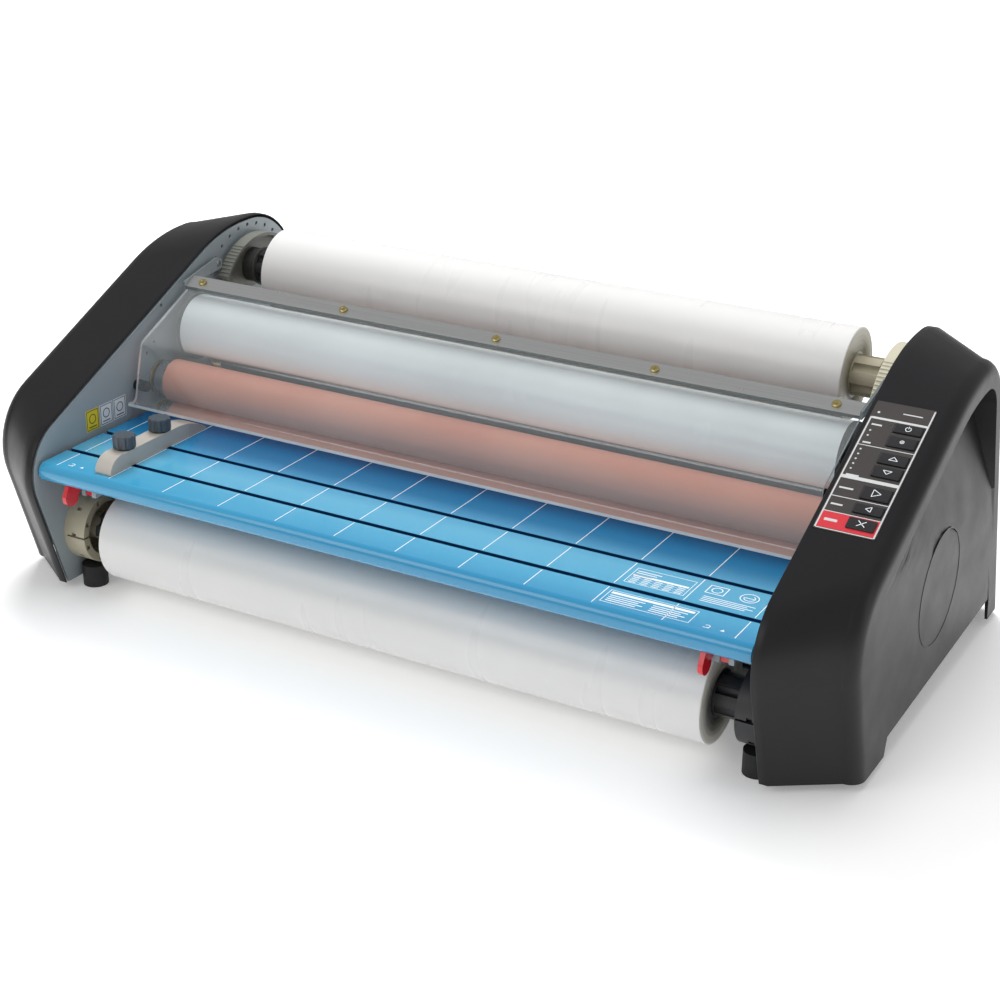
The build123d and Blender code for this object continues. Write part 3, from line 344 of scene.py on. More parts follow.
MATERIALS = {
    "cover": cover_plastic(),
    "panel": moulded("panel_overlay", (0.045, 0.040, 0.038), 0.32, 0.00006, coat=0.3),
    "key": moulded("key_black", (0.018, 0.018, 0.020), 0.36, 0.00008),
    "frame": painted("frame_blue_grey", (0.300, 0.345, 0.370), 0.38),
    "steel": turned("steel_turned", (0.60, 0.61, 0.62)),
    "rod": turned("steel_rod", (0.55, 0.56, 0.57), 0.22, (900.0, 6.0, 6.0)),
    "bronze": turned("bronze_bush", (0.60, 0.38, 0.14), 0.3),
    "silicone": silicone(),
    "pull": rubber("pull_rubber", (0.05, 0.05, 0.055), 0.55),
    "foot": rubber("foot_rubber", (0.012, 0.012, 0.013), 0.7),
    "nylon": moulded("gear_nylon", (0.62, 0.60, 0.52), 0.42),
    "motor": painted("motor_black", (0.03, 0.03, 0.033), 0.4),
    "lamp": moulded("lamp_ceramic", (0.72, 0.70, 0.64), 0.35),
    "hood": painted("hood_enamel", (0.86, 0.87, 0.88), 0.2, 0.02),
    "dark": moulded("dark_plastic", (0.022, 0.022, 0.024), 0.45),
    "holder": moulded("holder_slate", (0.075, 0.078, 0.075), 0.42),
    "pan": painted("pan_grey", (0.11, 0.115, 0.12), 0.45),
    "board": circuit_board(),
    "khaki": moulded("khaki_plastic", (0.42, 0.385, 0.285), 0.42, vary=0.08),
    "cream": moulded("cream_plastic", (0.58, 0.55, 0.43), 0.42, vary=0.06),
    "lever": moulded("lever_grey", (0.17, 0.175, 0.155), 0.42, vary=0.08),
    "film": film_wound(),
    "table": table_print(),
    "latch": moulded("latch_red", (0.62, 0.012, 0.022), 0.22, 0.00004, coat=0.5, vary=0.06),
    "guide": moulded("guide_beige", (0.46, 0.43, 0.39), 0.34, 0.00006, coat=0.2, vary=0.05),
    "knob": moulded("knob_slate", (0.060, 0.075, 0.092), 0.38, 0.0001),
    "clear": clear_acrylic(),
    "edge": acrylic_edge(),
    "bar": turned("bar_satin", (0.74, 0.75, 0.745), 0.34, (6.0, 1500.0, 1500.0)),
    "bar_edge": painted("bar_edge", (0.15, 0.17, 0.17), 0.4),
    "zinc": turned("zinc_yellow", (0.66, 0.55, 0.24), 0.24, (300.0, 300.0, 300.0)),
    "white_ink": ink("white_ink", (0.86, 0.90, 0.93)),
    "grey_ink": ink("grey_ink", (0.62, 0.62, 0.62)),
    "red_ink": ink("red_ink", (0.62, 0.035, 0.05)),
    "label": ink("label_white", (0.78, 0.80, 0.81)),
    "yellow_ink": ink("yellow_ink", (0.80, 0.62, 0.02)),
}

# Which CAD nodes wear which finish.
NODES_IN = {
    "panel": ("control_panel",),
    "board": ("control_board", "power_board"),
    "frame": ("right_side_frame", "left_side_frame"),
    "foot": ("rubber_feet", "shield_stops"),
    "rod": ("cross_bars",),
    "steel": ("frame_fasteners", "pressure_springs", "lower_heat_roller", "upper_heat_roller",
              "motor_pinion", "guide_tee_nuts"),
    "bronze": ("roller_bushes",),
    "motor": ("gear_motor",),
    "lamp": ("heater_lamps",),
    "hood": ("heater_hood",),
    "dark": ("hood_ends", "inlet_and_switch_bodies", "fan_frame", "lower_right_holder", "fan_rotor",
             "power_rocker", "lower_film_core"),
    "pan": ("base_pan",),
    "holder": ("upper_roll_holders",),
    "khaki": ("lower_left_holder", "upper_film_core"),
    "silicone": ("lower_heat_sleeve", "upper_heat_sleeve"),
    "nylon": ("lower_heat_gear", "upper_heat_gear", "lower_pull_gear", "upper_pull_gear",
              "drive_idler_gear"),
    "pull": ("lower_pull_roller", "upper_pull_roller"),
    "film": ("upper_film_roll", "lower_film_roll"),
    "lever": ("left_release_lever",),
    "cream": ("right_release_lever",),
    "table": ("feed_table",),
    "latch": ("left_table_latch", "right_table_latch"),
    "guide": ("edge_guide",),
    "knob": ("front_guide_knob", "rear_guide_knob"),
    "clear": ("shield_panel",),
    "bar": ("shield_bar",),
    "zinc": ("shield_screws",),
    "cover": ("left_cover", "right_cover"),
}
NODE_FINISH = {node: finish for finish, nodes in NODES_IN.items() for node in nodes}

# Each key's place down the panel, as a share of its length, and the height of the key's well in millimetres.
KEY_PLACES = {"power": (0.187, 11), "heat": (0.289, 13), "faster": (0.424, 13), "slower": (0.525, 13),
              "run": (0.69, 15), "reverse": (0.808, 11), "stop": (0.917, 13)}
for key in KEY_PLACES:
    NODE_FINISH[key + "_button"] = "key"

# Nodes whose edges are broken by a small bevel, in millimetres.
EDGE_ROUND = {
    "feed_table": 0.5, "edge_guide": 1.4, "shield_bar": 0.4, "left_table_latch": 1.0,
    "right_table_latch": 1.0, "left_release_lever": 0.5, "right_release_lever": 0.5,
    "lower_left_holder": 0.8, "lower_right_holder": 0.8,
    "front_guide_knob": 0.5, "rear_guide_knob": 0.5, "left_side_frame": 0.3, "right_side_frame": 0.3,
    "upper_film_core": 0.5, "lower_film_core": 0.5, "shield_stops": 1.0, "rubber_feet": 0.8, "hood_ends": 0.5,
    "base_pan": 0.3, "gear_motor": 0.8, "control_panel": 0.25,
}


def dress_cad_nodes():
    """Gives every CAD node its finish, smooth shading and, where it shows, softened edges."""
    for name, node in NODES.items():
        node.data.materials.clear()
        node.data.materials.append(MATERIALS[NODE_FINISH[name]])
        weld = node.modifiers.new("weld", "WELD")
        weld.merge_threshold = 0.00001
        if name in EDGE_ROUND:
            bevel = node.modifiers.new("edge", "BEVEL")
            bevel.width = EDGE_ROUND[name] * MM
            bevel.segments = 2
            bevel.limit_method = "ANGLE"
            bevel.angle_limit = math.radians(35)
        smooth_by_angle(node)


def smooth_by_angle(piece, angle=32.0):
    """Smooth shading in which edges sharper than the angle stay sharp and large flats stay flat."""
    mesh = piece.data
    if "custom_normal" in mesh.attributes:
        mesh.attributes.remove(mesh.attributes["custom_normal"])
    mesh.polygons.foreach_set("use_smooth", [True] * len(mesh.polygons))
    mesh.set_sharp_from_angle(angle=math.radians(angle))
    flat = piece.modifiers.new("flats", "WEIGHTED_NORMAL")
    flat.keep_sharp = True


# ================================================================ shapes
def mesh_piece(name, points, faces, materials, body, marks=None):
    """A mesh in row-frame metres that rides on a CAD body; marks gives each face its material."""
    mesh = bpy.data.meshes.new(name)
    mesh.from_pydata([tuple(p) for p in points], [], faces)
    for material in materials:
        mesh.materials.append(material)
    if marks:
        mesh.polygons.foreach_set("material_index", marks)
    builder = bmesh.new()
    builder.from_mesh(mesh)
    bmesh.ops.recalc_face_normals(builder, faces=builder.faces)
    builder.to_mesh(mesh)
    builder.free()
    piece = bpy.data.objects.new(name, mesh)
    bpy.context.collection.objects.link(piece)
    smooth_by_angle(piece)
    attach(piece, body)
    return piece


def arc(centre, radius, first, last, steps):
    """Points on an arc, angles in degrees."""
    turns = [math.radians(first + (last - first) * i / steps) for i in range(steps + 1)]
    return [(centre[0] + radius * math.cos(t), centre[1] + radius * math.sin(t)) for t in turns]


def fillet(points, radii, steps=8):
    """An open path whose inner corners are rounded."""
    made = [points[0]]
    for i in range(1, len(points) - 1):
        corner, radius = Vector(points[i]), radii[i]
        into = (corner - Vector(points[i - 1])).normalized()
        away = (Vector(points[i + 1]) - corner).normalized()
        turn = into.angle(away)
        if radius <= 0 or turn < 0.01:
            made.append(points[i])
            continue
        reach = radius * math.tan(turn / 2)
        start, stop = corner - into * reach, corner + away * reach
        side = 1 if into.cross(away) > 0 else -1
        centre = start + Vector((-into.y, into.x)) * radius * side
        for k in range(steps + 1):
            spoke = (start - centre)
            spoke.rotate(Matrix.Rotation(side * turn * k / steps, 2))
            made.append(tuple(centre + spoke))
    return made + [points[-1]]


class Sheet:
    """Thin solid shapes on a plane, given in millimetres along and across it."""

    def __init__(self, origin, along, across, lift=0.07, depth=0.12):
        self.origin = Vector(origin)
        self.along = Vector(along).normalized()
        self.across = Vector(across).normalized()
        self.out = self.along.cross(self.across)
        self.lift, self.depth = lift * MM, depth * MM
        self.points, self.faces = [], []

    def poly(self, outline, lift=0.0):
        """A filled outline."""
        first, count = len(self.points), len(outline)
        top = self.lift + lift * MM
        for height in (top, top - self.depth):
            for u, v in outline:
                flat = self.origin + self.along * (u * MM) + self.across * (v * MM)
                self.points.append(flat + self.out * height)
        self.faces.append(tuple(range(first, first + count)))
        self.faces.append(tuple(range(first + 2 * count - 1, first + count - 1, -1)))
        for i in range(count):
            j = (i + 1) % count
            self.faces.append((first + i, first + count + i, first + count + j, first + j))
        return self

    def box(self, u0, v0, u1, v1):
        return self.poly([(u0, v0), (u1, v0), (u1, v1), (u0, v1)])

    def stroke(self, a, b, width):
        """A straight line with square ends."""
        a, b = Vector(a), Vector(b)
        side = (b - a).normalized().orthogonal() * width / 2
        return self.poly([tuple(a + side), tuple(b + side), tuple(b - side), tuple(a - side)])

    def border(self, u0, v0, u1, v1, width):
        """A rectangle drawn as a line."""
        self.box(u0, v0, u1, v0 + width).box(u0, v1 - width, u1, v1)
        return self.box(u0, v0 + width, u0 + width, v1 - width).box(u1 - width, v0 + width, u1, v1 - width)

    def ring(self, u, v, radius, width, first=0, last=360):
        """A ring, or an arc of one."""
        steps = max(6, int(abs(last - first) / 12))
        outer = arc((u, v), radius, first, last, steps)
        inner = arc((u, v), radius - width, first, last, steps)
        for i in range(steps):
            self.poly([outer[i], outer[i + 1], inner[i + 1], inner[i]])
        return self

    def dot(self, u, v, radius):
        return self.poly(arc((u, v), radius, 0, 360, 20)[:-1])

    def make(self, name, material, body, slot):
        return mesh_piece(name, self.points, self.faces, [MATERIALS[material]], body)


# ================================================================ nodes with more than one finish
def mark_faces(node, material, test):
    """Gives a CAD node's faces another finish where the test of their centre and normal holds."""
    mesh = NODES[node].data
    mesh.materials.append(material)
    for face in mesh.polygons:
        if test(face.center, face.normal):
            face.material_index = len(mesh.materials) - 1


def second_finishes():
    """The parts of a node that are made of something else than the rest of it."""
    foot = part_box("power_board")[0].z
    # transformer and capacitor, then the terminal block, then the spacers
    mark_faces("power_board", MATERIALS["dark"], lambda c, n: c.z > foot + 8 * MM)
    mark_faces("power_board", MATERIALS["cream"], lambda c, n: c.z > foot + 8 * MM and c.y > 86 * MM)
    mark_faces("power_board", MATERIALS["steel"], lambda c, n: c.z < foot + 5.9 * MM)
    # the bar's dark front edge and ends, and the outer faces of its arms
    mark_faces("shield_bar", MATERIALS["bar_edge"],
               lambda c, n: n.y < -0.8 or (abs(n.x) < 0.9 and abs(c.x) > 361.9 * MM))
    mark_faces("shield_bar", MATERIALS["frame"], lambda c, n: abs(n.x) > 0.9 and abs(c.x) > 361.2 * MM)
    # the table's painted underside, and the black plug at the upper core's left end
    mark_faces("feed_table", MATERIALS["frame"], lambda c, n: c.z < TABLE_Z - 19.5 * MM)
    mark_faces("upper_film_core", MATERIALS["dark"], lambda c, n: c.x < -300 * MM)


# ================================================================ film rolls
def film_tail(name, body, axis, radius, start, sweep, half):
    """The outermost wrap of a roll, ending in a slightly ragged edge along the roll."""
    points, faces = [], []
    steps, across = 60, 24
    loose, ragged, sunk = 0.35 * MM, 0.25 * MM, 0.3 * MM
    for i in range(steps + 1):
        turn = math.radians(start + sweep * i / steps)
        lift = loose * min(1, 3 * i / steps)
        for j in range(across + 1):
            x = -half + 2 * half * j / across
            edge = ragged * math.sin(j * 2.1) * (i / steps) ** 6
            for r in (radius + lift + edge, radius - sunk):
                points.append((x, axis[0] + r * math.cos(turn), axis[1] + r * math.sin(turn)))
    row = 2 * (across + 1)
    for i in range(steps):
        for j in range(across):
            a = i * row + 2 * j
            faces.append((a, a + 2, a + row + 2, a + row))
            faces.append((a + 1, a + row + 1, a + row + 3, a + 3))
        for a in (i * row, i * row + 2 * across):
            faces.append((a, a + row, a + row + 1, a + 1))
    for j in range(across):
        for a in (2 * j, steps * row + 2 * j):
            faces.append((a, a + 1, a + 3, a + 2))
    return mesh_piece(name, points, faces, [MATERIALS["film"]], body)


def film_rolls():
    """Ring-marked ends and a loose outer wrap on each roll of film."""
    for side, sweep in (("upper", 250), ("lower", 215)):
        lo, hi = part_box(side + "_film_roll")
        axis = ((lo.y + hi.y) / 2, (lo.z + hi.z) / 2)
        radius = (hi.z - lo.z) / 2
        mark_faces(side + "_film_roll", film_ends(side + "_film_ends", *axis), lambda c, n: abs(n.x) > 0.9)
        start = -40 if side == "upper" else 70
        film_tail(side + "_film_wrap", side + "_film", axis, radius, start, sweep, hi.x - 0.4 * MM)


# ================================================================ shield
def shield():
    """The clear sheet with softly folded front and lip, and polished edges whose pale colour is a painted
    highlight.
    """
    slope = math.radians(24.6)
    thick = 3.0
    # the sheet's upper and lower faces from the side, in millimetres: slope, front and lip
    top = [(24.0, 267.53), (-71.0, 224.0), (-85.5, 167.5), (-96.0, 167.5)]
    under = [(24.0, 267.53 - thick / math.cos(slope)), (-68.9, 221.6), (-83.2, 164.5), (-96.0, 164.5)]
    outer = fillet(top, (0, 9, 3.5, 0))
    inner = fillet(under, (0, 6, 6.5, 0))
    count = len(outer)
    half = 361.0
    points, faces, marks = [], [], []
    spans = [-half + 2 * half * i / 12 for i in range(13)]
    for x in spans:
        for y, z in outer + inner:
            points.append((x * MM, y * MM, z * MM))
    row = 2 * count
    for i in range(len(spans) - 1):
        a, b = i * row, (i + 1) * row
        for k in range(count - 1):
            faces.append((a + k, a + k + 1, b + k + 1, b + k))
            faces.append((a + count + k, b + count + k, b + count + k + 1, a + count + k + 1))
            marks += [0, 0]
        for k in (0, count - 1):
            faces.append((a + k, b + k, b + count + k, a + count + k))
            marks.append(1)
    for a in (0, (len(spans) - 1) * row):
        for k in range(count - 1):
            faces.append((a + k, a + count + k, a + count + k + 1, a + k + 1))
            marks.append(1)
    materials = [MATERIALS["clear"], MATERIALS["edge"]]
    piece = mesh_piece("clear_shield", points, faces, materials, "shield", marks)
    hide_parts("shield_panel")


# ================================================================ printing on the table
def table_printing():
    """White cutting lines on the table, two blank charts and small plain signs."""
    def page():
        return Sheet((0, 0, TABLE_Z), (1, 0, 0), (0, 1, 0))

    rear = TABLE_HI.y / MM
    half_line = 0.4
    lines = page()
    between_slots = [(-217, -184.2), (-175.8, -131.4), (-123.0, rear - 0.4)]
    for i in range(12):
        x = (FIRST_LINE + i * GRID) / MM
        for low, high in between_slots:
            lines.box(x - half_line, low, x + half_line, high)
    lines.make("table_lines", "white_ink", "table", "table_blue")

    chart, row = page(), 3.3
    chart.border(227.5, -169, 282.5, -139.5, 0.6).border(226.5, -211.5, 306.5, -188.5, 0.6)
    # the rear chart: blank heading lines, a solid band and rows of blank fields in five columns
    for k in range(3):
        chart.box(230, -145.5 - k * 3.6, 252 - k * 3, -144.3 - k * 3.6)
    for k in range(3):
        chart.box(229.5, -158.2 - k * 3.6, 280.5, -157.9 - k * 3.6)
    chart.box(229.5, -154.8, 280.5, -151.8)
    for k in range(4):
        for column in range(5):
            left, low = 231 + column * 10.4, -157.4 - k * row
            chart.box(left, low, left + 6.5, low + 1)
    # the front chart: a solid band over two columns of blank text
    chart.box(229, -194.5, 304, -191)
    for k in range(4):
        for column in range(2):
            low, right = -198.4 - k * row, 262 + column * 38 - 5 * (k % 2)
            chart.box(230 + column * 39, low, right, low + 1.2)
    chart.make("table_charts", "white_ink", "table", "table_blue")

    # a crossed ring, a framed ring and blank text beside the charts; a mark and an arrow at each front corner
    signs = page()
    signs.ring(332, -146, 8.4, 0.9).ring(332, -146, 5.2, 0.9, 200, 420).box(326.5, -146.5, 337.5, -145.5)
    signs.border(294.5, -153.5, 311.5, -138, 0.9).ring(303, -145.75, 5, 0.9)
    for k in range(4):
        signs.box(297, -160.5 - k * 3, 343 - 6 * (k % 2), -159.5 - k * 3)
    for x in (-336.6, 322.2):
        signs.ring(x, -209, 2.6, 0.8, -90, 150).box(x - 3, -212, x + 2.4, -211.2)
    for x in (-324, 336):
        signs.poly([(x - 2, -211.5), (x + 2, -211.5), (x, -208)])
    signs.make("table_signs", "white_ink", "table", "table_blue")


# ================================================================ covers
# Outlines from the side in millimetres, front foot to rear foot, each with its three corner radii: first
# against the side frame, then at the side panel.
COVER_IN = (((-196.6, 8), (-244.7, 158.0), (79.6, 306.5), (198.0, 306.5), (231.0, 8)), (58, 185, 75))
COVER_OUT = (((-162.0, 8), (-213.7, 172.2), (57.0, 296.15), (145.0, 296.15), (231.0, 8)), (70, 200, 58))
COVER_SIDE = 444.5                   # the side panel's distance from the middle of the machine
COVER_RIM = 378.0                    # where the rim on the side frame ends and the slopes begin
COVER_FOOT = 8.0                     # the covers' height over the floor
COVER_WALL = 2.6
EDGE_WIDE, EDGE_DEEP = 14.5, 14.0    # the rounded edge between the sloping top and the side panel
HOLLOW_WALL = (25.0, 28.5)           # how far in from the outline the hand-hold's wall starts and ends
HOLLOW_FLOOR = (0.0348, 0.2466, -42.7)   # the hand-hold's depth per y and z, and at the origin
SKIRT = (-103.0, 190.0, 25.0, 33.0)  # the gap under the side panel: front and rear end, height at each
# Shares of the way across the side panel at which it gets a row of points.
COLUMNS = (0.02, 0.05, 0.07, 0.085, 0.12, 0.19, 0.26, 0.33, 0.4, 0.47, 0.54, 0.61, 0.68, 0.75, 0.82,
           0.88, 0.93, 0.96, 0.975, 0.988)


def inset_outline(outline, inset, steps=12, parts=8):
    """Points of a cover's outline moved inwards, from the front foot over the top to the rear foot."""
    corners, radii = outline
    spots = [Vector(c) for c in corners]
    lines = []
    for a, b in zip(spots, spots[1:]):
        way = (b - a).normalized()
        lines.append((a + Vector((way.y, -way.x)) * inset, way))

    def meet(first, second):
        (p, d), (q, e) = first, second
        return p + d * ((q - p).cross(e) / d.cross(e))

    floor = (Vector((0, COVER_FOOT)), Vector((1, 0)))
    moved = [meet(a, b) for a, b in zip([floor] + lines, lines + [floor])]
    made, last = [], moved[0]
    for i in range(1, 4):
        corner, radius = moved[i], max(1.5, radii[i - 1] - inset)
        into, away = lines[i - 1][1], lines[i][1]
        turn = into.angle(away)
        start = corner - into * radius * math.tan(turn / 2)
        made += [last.lerp(start, k / parts) for k in range(parts)]
        centre = start + Vector((into.y, -into.x)) * radius
        for k in range(steps):
            spoke = start - centre
            spoke.rotate(Matrix.Rotation(-turn * k / steps, 2))
            made.append(centre + spoke)
        last = corner + away * radius * math.tan(turn / 2)
    return made + [last.lerp(moved[-1], k / parts) for k in range(parts + 1)]


def hollow_depth(y, z):
    """How far the hand-hold's floor lies behind the side panel."""
    return max(0.0, HOLLOW_FLOOR[0] * y + HOLLOW_FLOOR[1] * z + HOLLOW_FLOOR[2])


def cover_rows():
    """Rows of points over the cover: across its rim, round its edge and in over the side panel."""
    rows = []
    # the rim stands on the side frame, its corner rounded by a millimetre
    for x, inset in ((369.6, 1.0), (370.0, 0.35), (370.8, 0.0), (374.0, 0.0), (COVER_RIM, 0.0)):
        rows.append([(x, p.x, p.y) for p in inset_outline(COVER_IN, inset)])
    # the sloping top and sides widen evenly from the inner outline to the outer one
    inner, outer = inset_outline(COVER_IN, 0), inset_outline(COVER_OUT, 0)
    slopes = COVER_SIDE - EDGE_WIDE - COVER_RIM
    for share in (0.2, 0.4, 0.6, 0.8, 1.0):
        rows.append([(COVER_RIM + slopes * share, *a.lerp(b, share)) for a, b in zip(inner, outer)])
    # the rounded edge, in steps of ten degrees
    for k in range(1, 10):
        turn = math.radians(10 * k)
        inset = EDGE_DEEP * (1 - math.cos(turn))
        x = COVER_SIDE - EDGE_WIDE + EDGE_WIDE * math.sin(turn)
        rows.append([(x, p.x, p.y) for p in inset_outline(COVER_OUT, inset)])
    # the side panel's border, the hand-hold's wall and the start of its floor
    for inset in (17, 21, 24.2, *HOLLOW_WALL, 29.5, 34):
        low, high = HOLLOW_WALL
        share = min(1, max(0, (inset - low) / (high - low)))
        line = inset_outline(COVER_OUT, inset)
        rows.append([(COVER_SIDE - share * hollow_depth(p.x, p.y), p.x, p.y) for p in line])
    return rows


def cover_shell(name, mirrored):
    """The moulded cover: a tapering rim, a rounded edge and a side panel with a sunk hand-hold."""
    rows = cover_rows()
    count = len(rows[0])
    points = [p for row in rows for p in row]
    faces = []
    for r in range(len(rows) - 1):
        for i in range(count - 1):
            a = r * count + i
            faces.append((a, a + 1, a + count + 1, a + count))
    # the rest of the side panel is filled with rungs from the front half of the last row to its rear half
    front, rear, gap_low, gap_high = SKIRT
    skirt_high = 70                      # above this height the rows of points are straight again
    ring = (len(rows) - 1) * count
    rungs = []
    for i in range(count // 2):
        a, b = points[ring + i], points[ring + count - 1 - i]
        rung = [ring + i]
        for share in COLUMNS:
            y, z = a[1] + (b[1] - a[1]) * share, a[2] + (b[2] - a[2]) * share
            lift = gap_low + (gap_high - gap_low) * (y - front) / (rear - front)
            if z < skirt_high and front < y < rear:
                z = lift + (z - COVER_FOOT) * (skirt_high - lift) / (skirt_high - COVER_FOOT)
            rung.append(len(points))
            points.append((COVER_SIDE - hollow_depth(y, z), y, z))
        rungs.append(rung + [ring + count - 1 - i])
    for low, high in zip(rungs, rungs[1:]):
        for k in range(len(low) - 1):
            faces.append((low[k], low[k + 1], high[k + 1], high[k]))
    top = rungs[-1]
    middle = ring + count // 2
    if count % 2:
        for k in range(len(top) - 1):
            faces.append((top[k], top[k + 1], middle))
    side = -1 if mirrored else 1
    points = [(side * x * MM, y * MM, z * MM) for x, y, z in points]
    piece = mesh_piece(name, points, faces, [MATERIALS["cover"]], "chassis")
    piece.modifiers.clear()
    piece.data.set_sharp_from_angle(angle=math.radians(180))
    builder = bmesh.new()
    builder.from_mesh(piece.data)
    builder.normal_update()
    outward = sum(f.normal.x * f.calc_area() for f in builder.faces)
    if outward * side < 0:
        bmesh.ops.reverse_faces(builder, faces=builder.faces)
    builder.to_mesh(piece.data)
    builder.free()
    wall = piece.modifiers.new("wall", "SOLIDIFY")
    wall.thickness = COVER_WALL * MM
    wall.offset = -1
    return piece


# The control panel's plane, its centre, its two directions and its size in millimetres.
SLOPE = math.atan2(148.5, 324.3)
PAD_CENTRE = Vector((400 * MM, -56 * MM, 244.40 * MM))
PAD_ALONG, PAD_UP = Vector((1, 0, 0)), Vector((0, math.cos(SLOPE), math.sin(SLOPE)))
PAD_LENGTH, PAD_HALF = 154.0, 26.5
KEY_TOP = 2.08                       # the keys' height over the panel


def covers():
    """Both moulded covers; the right one opens under the control panel."""
    left = cover_shell("left_cover_shell", True)
    right = cover_shell("right_cover_shell", False)
    hole = Sheet(PAD_CENTRE, PAD_ALONG, PAD_UP, lift=6, depth=20)
    hole.box(-PAD_HALF, -PAD_LENGTH / 2, PAD_HALF, PAD_LENGTH / 2)
    cutter = hole.make("panel_cutter", "cover", "chassis", "cover_black")
    cutter.modifiers.clear()
    cut = right.modifiers.new("panel_window", "BOOLEAN")
    cut.object = cutter
    cut.solver = "EXACT"
    bpy.context.view_layer.update()
    for piece in (left, right):
        settled = bpy.data.meshes.new_from_object(piece.evaluated_get(bpy.context.evaluated_depsgraph_get()))
        piece.modifiers.clear()
        piece.data = settled
        smooth_by_angle(piece, 40)
    bpy.data.objects.remove(cutter)
    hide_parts("left_cover")
    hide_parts("right_cover")
    for side, name in ((1, "right"), (-1, "left")):
        middle = (side * COVER_SIDE * MM, 12 * MM, 118 * MM)
        badge = Sheet(middle, (0, side, 0), (0, 0, 1), lift=0.35, depth=0.8)
        badge.ring(0, 0, 54, 1.3)
        badge.make(name + "_cover_ring", "cover", "chassis", "cover_black")


# ================================================================ control panel printing
def pad(lift):
    """A sheet on the panel, at a height over it in millimetres."""
    return Sheet(PAD_CENTRE, PAD_ALONG, PAD_UP, lift=lift)


def at(share):
    """Distance up the panel, in millimetres, of a share of its length from the top."""
    return PAD_LENGTH * (0.5 - share)


def panel_printing():
    """Fields, rules, lamps and the rims of the key wells on the panel."""
    rules = pad(0.48)
    left, right = -PAD_HALF + 1.0, PAD_HALF - 1.0
    rules.box(left, at(0.99), left + 1.3, at(0.13)).box(right - 1.3, at(0.99), right, at(0.01))
    for share, width in ((0.135, 2.4), (0.352, 0.8), (0.602, 3.6), (0.752, 0.8), (0.866, 0.8), (0.99, 0.9)):
        rules.box(left + 1.3, at(share) - width / 2, right - 1.3, at(share) + width / 2)
    rules.make("panel_rules", "grey_ink", "chassis", "panel_face")
    stop = pad(0.44)
    stop.box(left + 1.3, at(0.984), right - 1.3, at(0.868))
    stop.make("panel_stop_field", "red_ink", "chassis", "panel_face")
    marks = pad(0.5)
    for share, width in ((0.187, 9), (0.33, 7), (0.585, 11), (0.685, 12), (0.81, 10)):
        marks.box(left + 4, at(share) - 0.9, left + 4 + width, at(share) + 0.9)
    marks.box(left + 5, at(0.925) - 1.4, left + 16, at(0.925) + 1.4)
    for k in range(2):
        marks.dot(left + 5.4, at(0.235 + 0.04 * k), 0.9)
    for k in range(5):
        marks.dot(left + 5.4, at(0.385 + 0.038 * k), 0.9)
    marks.dot(left + 5, at(0.09), 1.2).box(0, at(0.07) - 0.6, 17, at(0.07) + 0.6)
    marks.make("panel_marks", "grey_ink", "chassis", "panel_face")
    seat = pad(0.42)
    for share, height in KEY_PLACES.values():
        reach = height / 2 + 0.3
        seat.border(-2.6, at(share) - reach, 24.0, at(share) + reach, 0.45)
    seat.make("panel_key_wells", "key", "chassis", "panel_face")


def key_signs():
    """A plain sign on each key, which rides on that key."""
    line = 0.6
    u = 10.7                             # the signs' line down the panel
    places = {name: at(share) for name, (share, height) in KEY_PLACES.items()}

    def blank():
        return pad(KEY_TOP)

    def sign(name, face):
        face.make(name + "_sign", "white_ink", name + "_key", "key_black")

    def triangle(name, tips):
        face = blank()
        for a, b in zip(tips, tips[1:] + tips[:1]):
            face.stroke(a, b, line)
        sign(name, face)

    v = places["power"]
    sign("power", blank().ring(u, v, 2.7, line, 115, 425).box(u - line / 2, v + 0.4, u + line / 2, v + 3.2))
    v = places["heat"]
    sign("heat", blank().ring(u, v, 1.9, line).dot(u, v, 0.6))
    for name, way in (("faster", 1), ("slower", -1)):
        v = places[name]
        triangle(name, ((u - 3.8, v - 1.6 * way), (u + 3.8, v - 1.6 * way), (u, v + 2.4 * way)))
    for name, way in (("run", 1.35), ("reverse", -0.9)):
        v, high = places[name], 3 * abs(way)
        triangle(name, ((u - 2.3 * way, v - high), (u - 2.3 * way, v + high), (u + 3 * way, v)))
    v = places["stop"]
    cross = blank().stroke((u - 3.4, v - 3), (u + 3.4, v + 3), 0.7)
    sign("stop", cross.stroke((u - 3.4, v + 3), (u + 3.4, v - 3), 0.7))


def frame_cards():
    """Three small blank cards on the left frame beside the rollers, one of them yellow."""
    x = -369.6 * MM                      # the left side frame's inner face
    wide, pitch = 19, 20.5
    cards = (("yellow", "yellow_ink"), ("first_white", "label"), ("second_white", "label"))
    for k, (name, ink_name) in enumerate(cards):
        low = -149.5 + k * pitch
        card = Sheet((x, 0, 0), (0, 1, 0), (0, 0, 1))
        card.box(low, 151.5, low + wide, 173.5)
        card.make(name + "_card", ink_name, "chassis", "frame_grey")
        drawing = Sheet((x, 0, 0), (0, 1, 0), (0, 0, 1), lift=0.12)
        drawing.border(low + 1, 152.5, low + wide - 1, 172.5, 0.7).ring(low + wide / 2, 163.5, 5, 0.9)
        drawing.box(low + 4, 155, low + wide - 4, 156)
        drawing.make(name + "_card_print", "key", "chassis", "frame_grey")


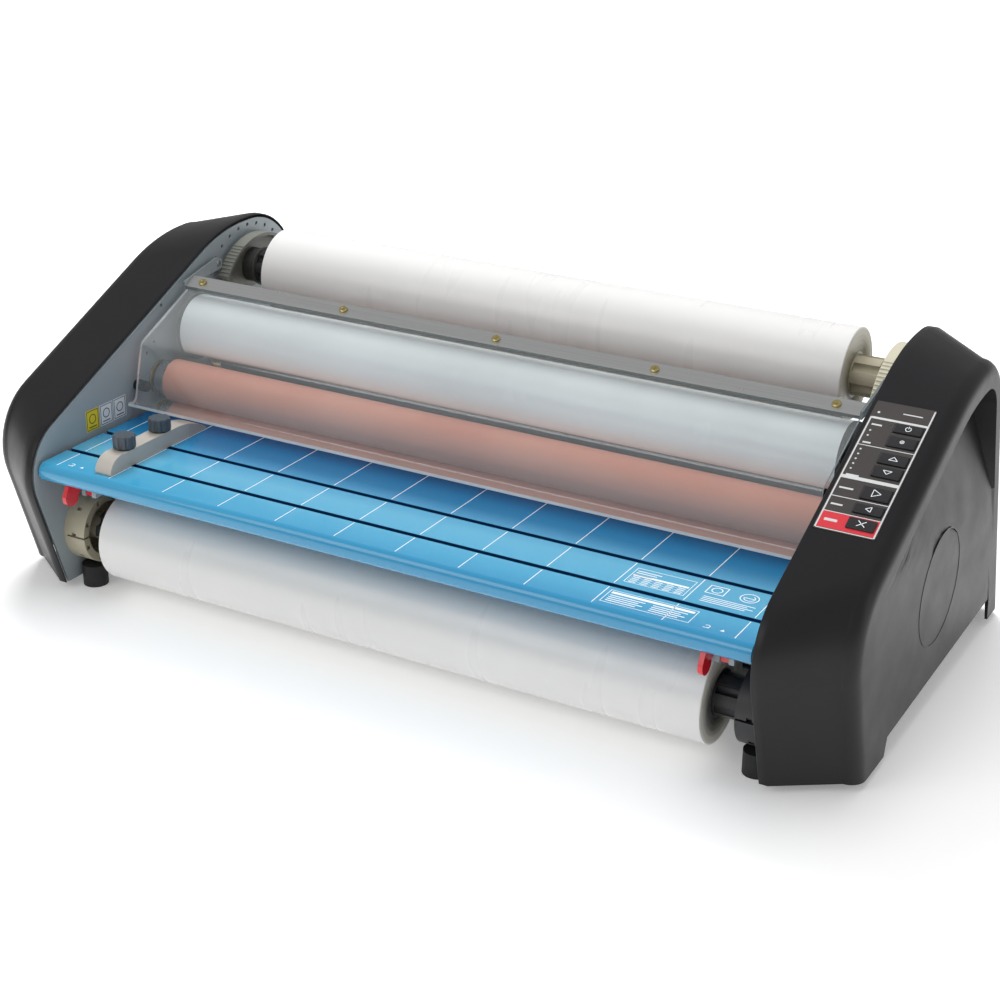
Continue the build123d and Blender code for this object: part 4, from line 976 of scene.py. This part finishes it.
# ================================================================ studio
def camera():
    """A camera to the front right and above, turned by its azimuth, elevation and roll."""
    place = (0.8554, -1.4895, 0.8526)
    azimuth, elevation, roll = (math.radians(a) for a in (29.497, 23.484, 0.495))
    back = Vector((math.sin(azimuth) * math.cos(elevation), -math.cos(azimuth) * math.cos(elevation),
                   math.sin(elevation)))
    level = Vector((math.cos(azimuth), math.sin(azimuth), 0))
    upright = back.cross(level)
    right = math.cos(roll) * level + math.sin(roll) * upright
    up = -math.sin(roll) * level + math.cos(roll) * upright
    lens = bpy.data.cameras.new("camera")
    lens.lens = 69.67
    lens.sensor_width = 36
    eye = bpy.data.objects.new("camera", lens)
    pose = Matrix((right, up, back)).transposed().to_4x4()
    pose.translation = place
    eye.matrix_world = pose
    bpy.context.collection.objects.link(eye)
    bpy.context.scene.camera = eye


def softbox(name, place, aim, size, power, mirrored=True):
    """A rectangular area light aimed at a point; one that isn't mirrored leaves no image in glossy faces."""
    data = bpy.data.lights.new(name, "AREA")
    data.shape = "RECTANGLE"
    data.size, data.size_y = size
    data.energy = power
    light = bpy.data.objects.new(name, data)
    light.location = place
    light.rotation_euler = (Vector(aim) - Vector(place)).to_track_quat("-Z", "Y").to_euler()
    light.visible_glossy = mirrored
    bpy.context.collection.objects.link(light)


def studio():
    """A white floor, a white surround and four soft lights."""
    half = 12.0
    mesh = bpy.data.meshes.new("floor")
    corners = [(-half, -half, 0), (half, -half, 0), (half, half, 0), (-half, half, 0)]
    mesh.from_pydata(corners, [], [(0, 1, 2, 3)])
    floor = bpy.data.objects.new("floor", mesh)
    floor.location.z = -0.0002
    mesh.materials.append(floor_finish())
    bpy.context.collection.objects.link(floor)
    # the surround is pure white to the camera and dimmer as a light
    world = bpy.data.worlds.new("studio")
    world.use_nodes = True
    tree = world.node_tree
    ground = tree.nodes["Background"]
    ground.inputs["Color"].default_value = (1, 1, 1, 1)
    seen = tree.nodes.new("ShaderNodeLightPath").outputs["Is Camera Ray"]
    level = tree.nodes.new("ShaderNodeMapRange")
    level.inputs["To Min"].default_value = 0.42
    level.inputs["To Max"].default_value = 1.0
    tree.links.new(seen, level.inputs["Value"])
    tree.links.new(level.outputs[0], ground.inputs["Strength"])
    bpy.context.scene.world = world
    softbox("back_key", (-1.1, 1.3, 2.3), (0, 0, 0.1), (1.3, 1.0), 52, False)
    softbox("over", (0.2, 0.1, 2.7), (0, 0, 0.2), (2.2, 1.0), 30, False)
    softbox("front_fill", (-0.9, -2.2, 1.6), (0, 0, 0.15), (1.8, 1.2), 14)
    softbox("side", (2.6, 0.2, 0.9), (0.4, 0, 0.15), (0.9, 1.4), 5)
    bpy.context.scene.view_settings.view_transform = "Standard"


dress_cad_nodes()
second_finishes()
film_rolls()
shield()
table_printing()
covers()
panel_printing()
key_signs()
frame_cards()
camera()
studio()
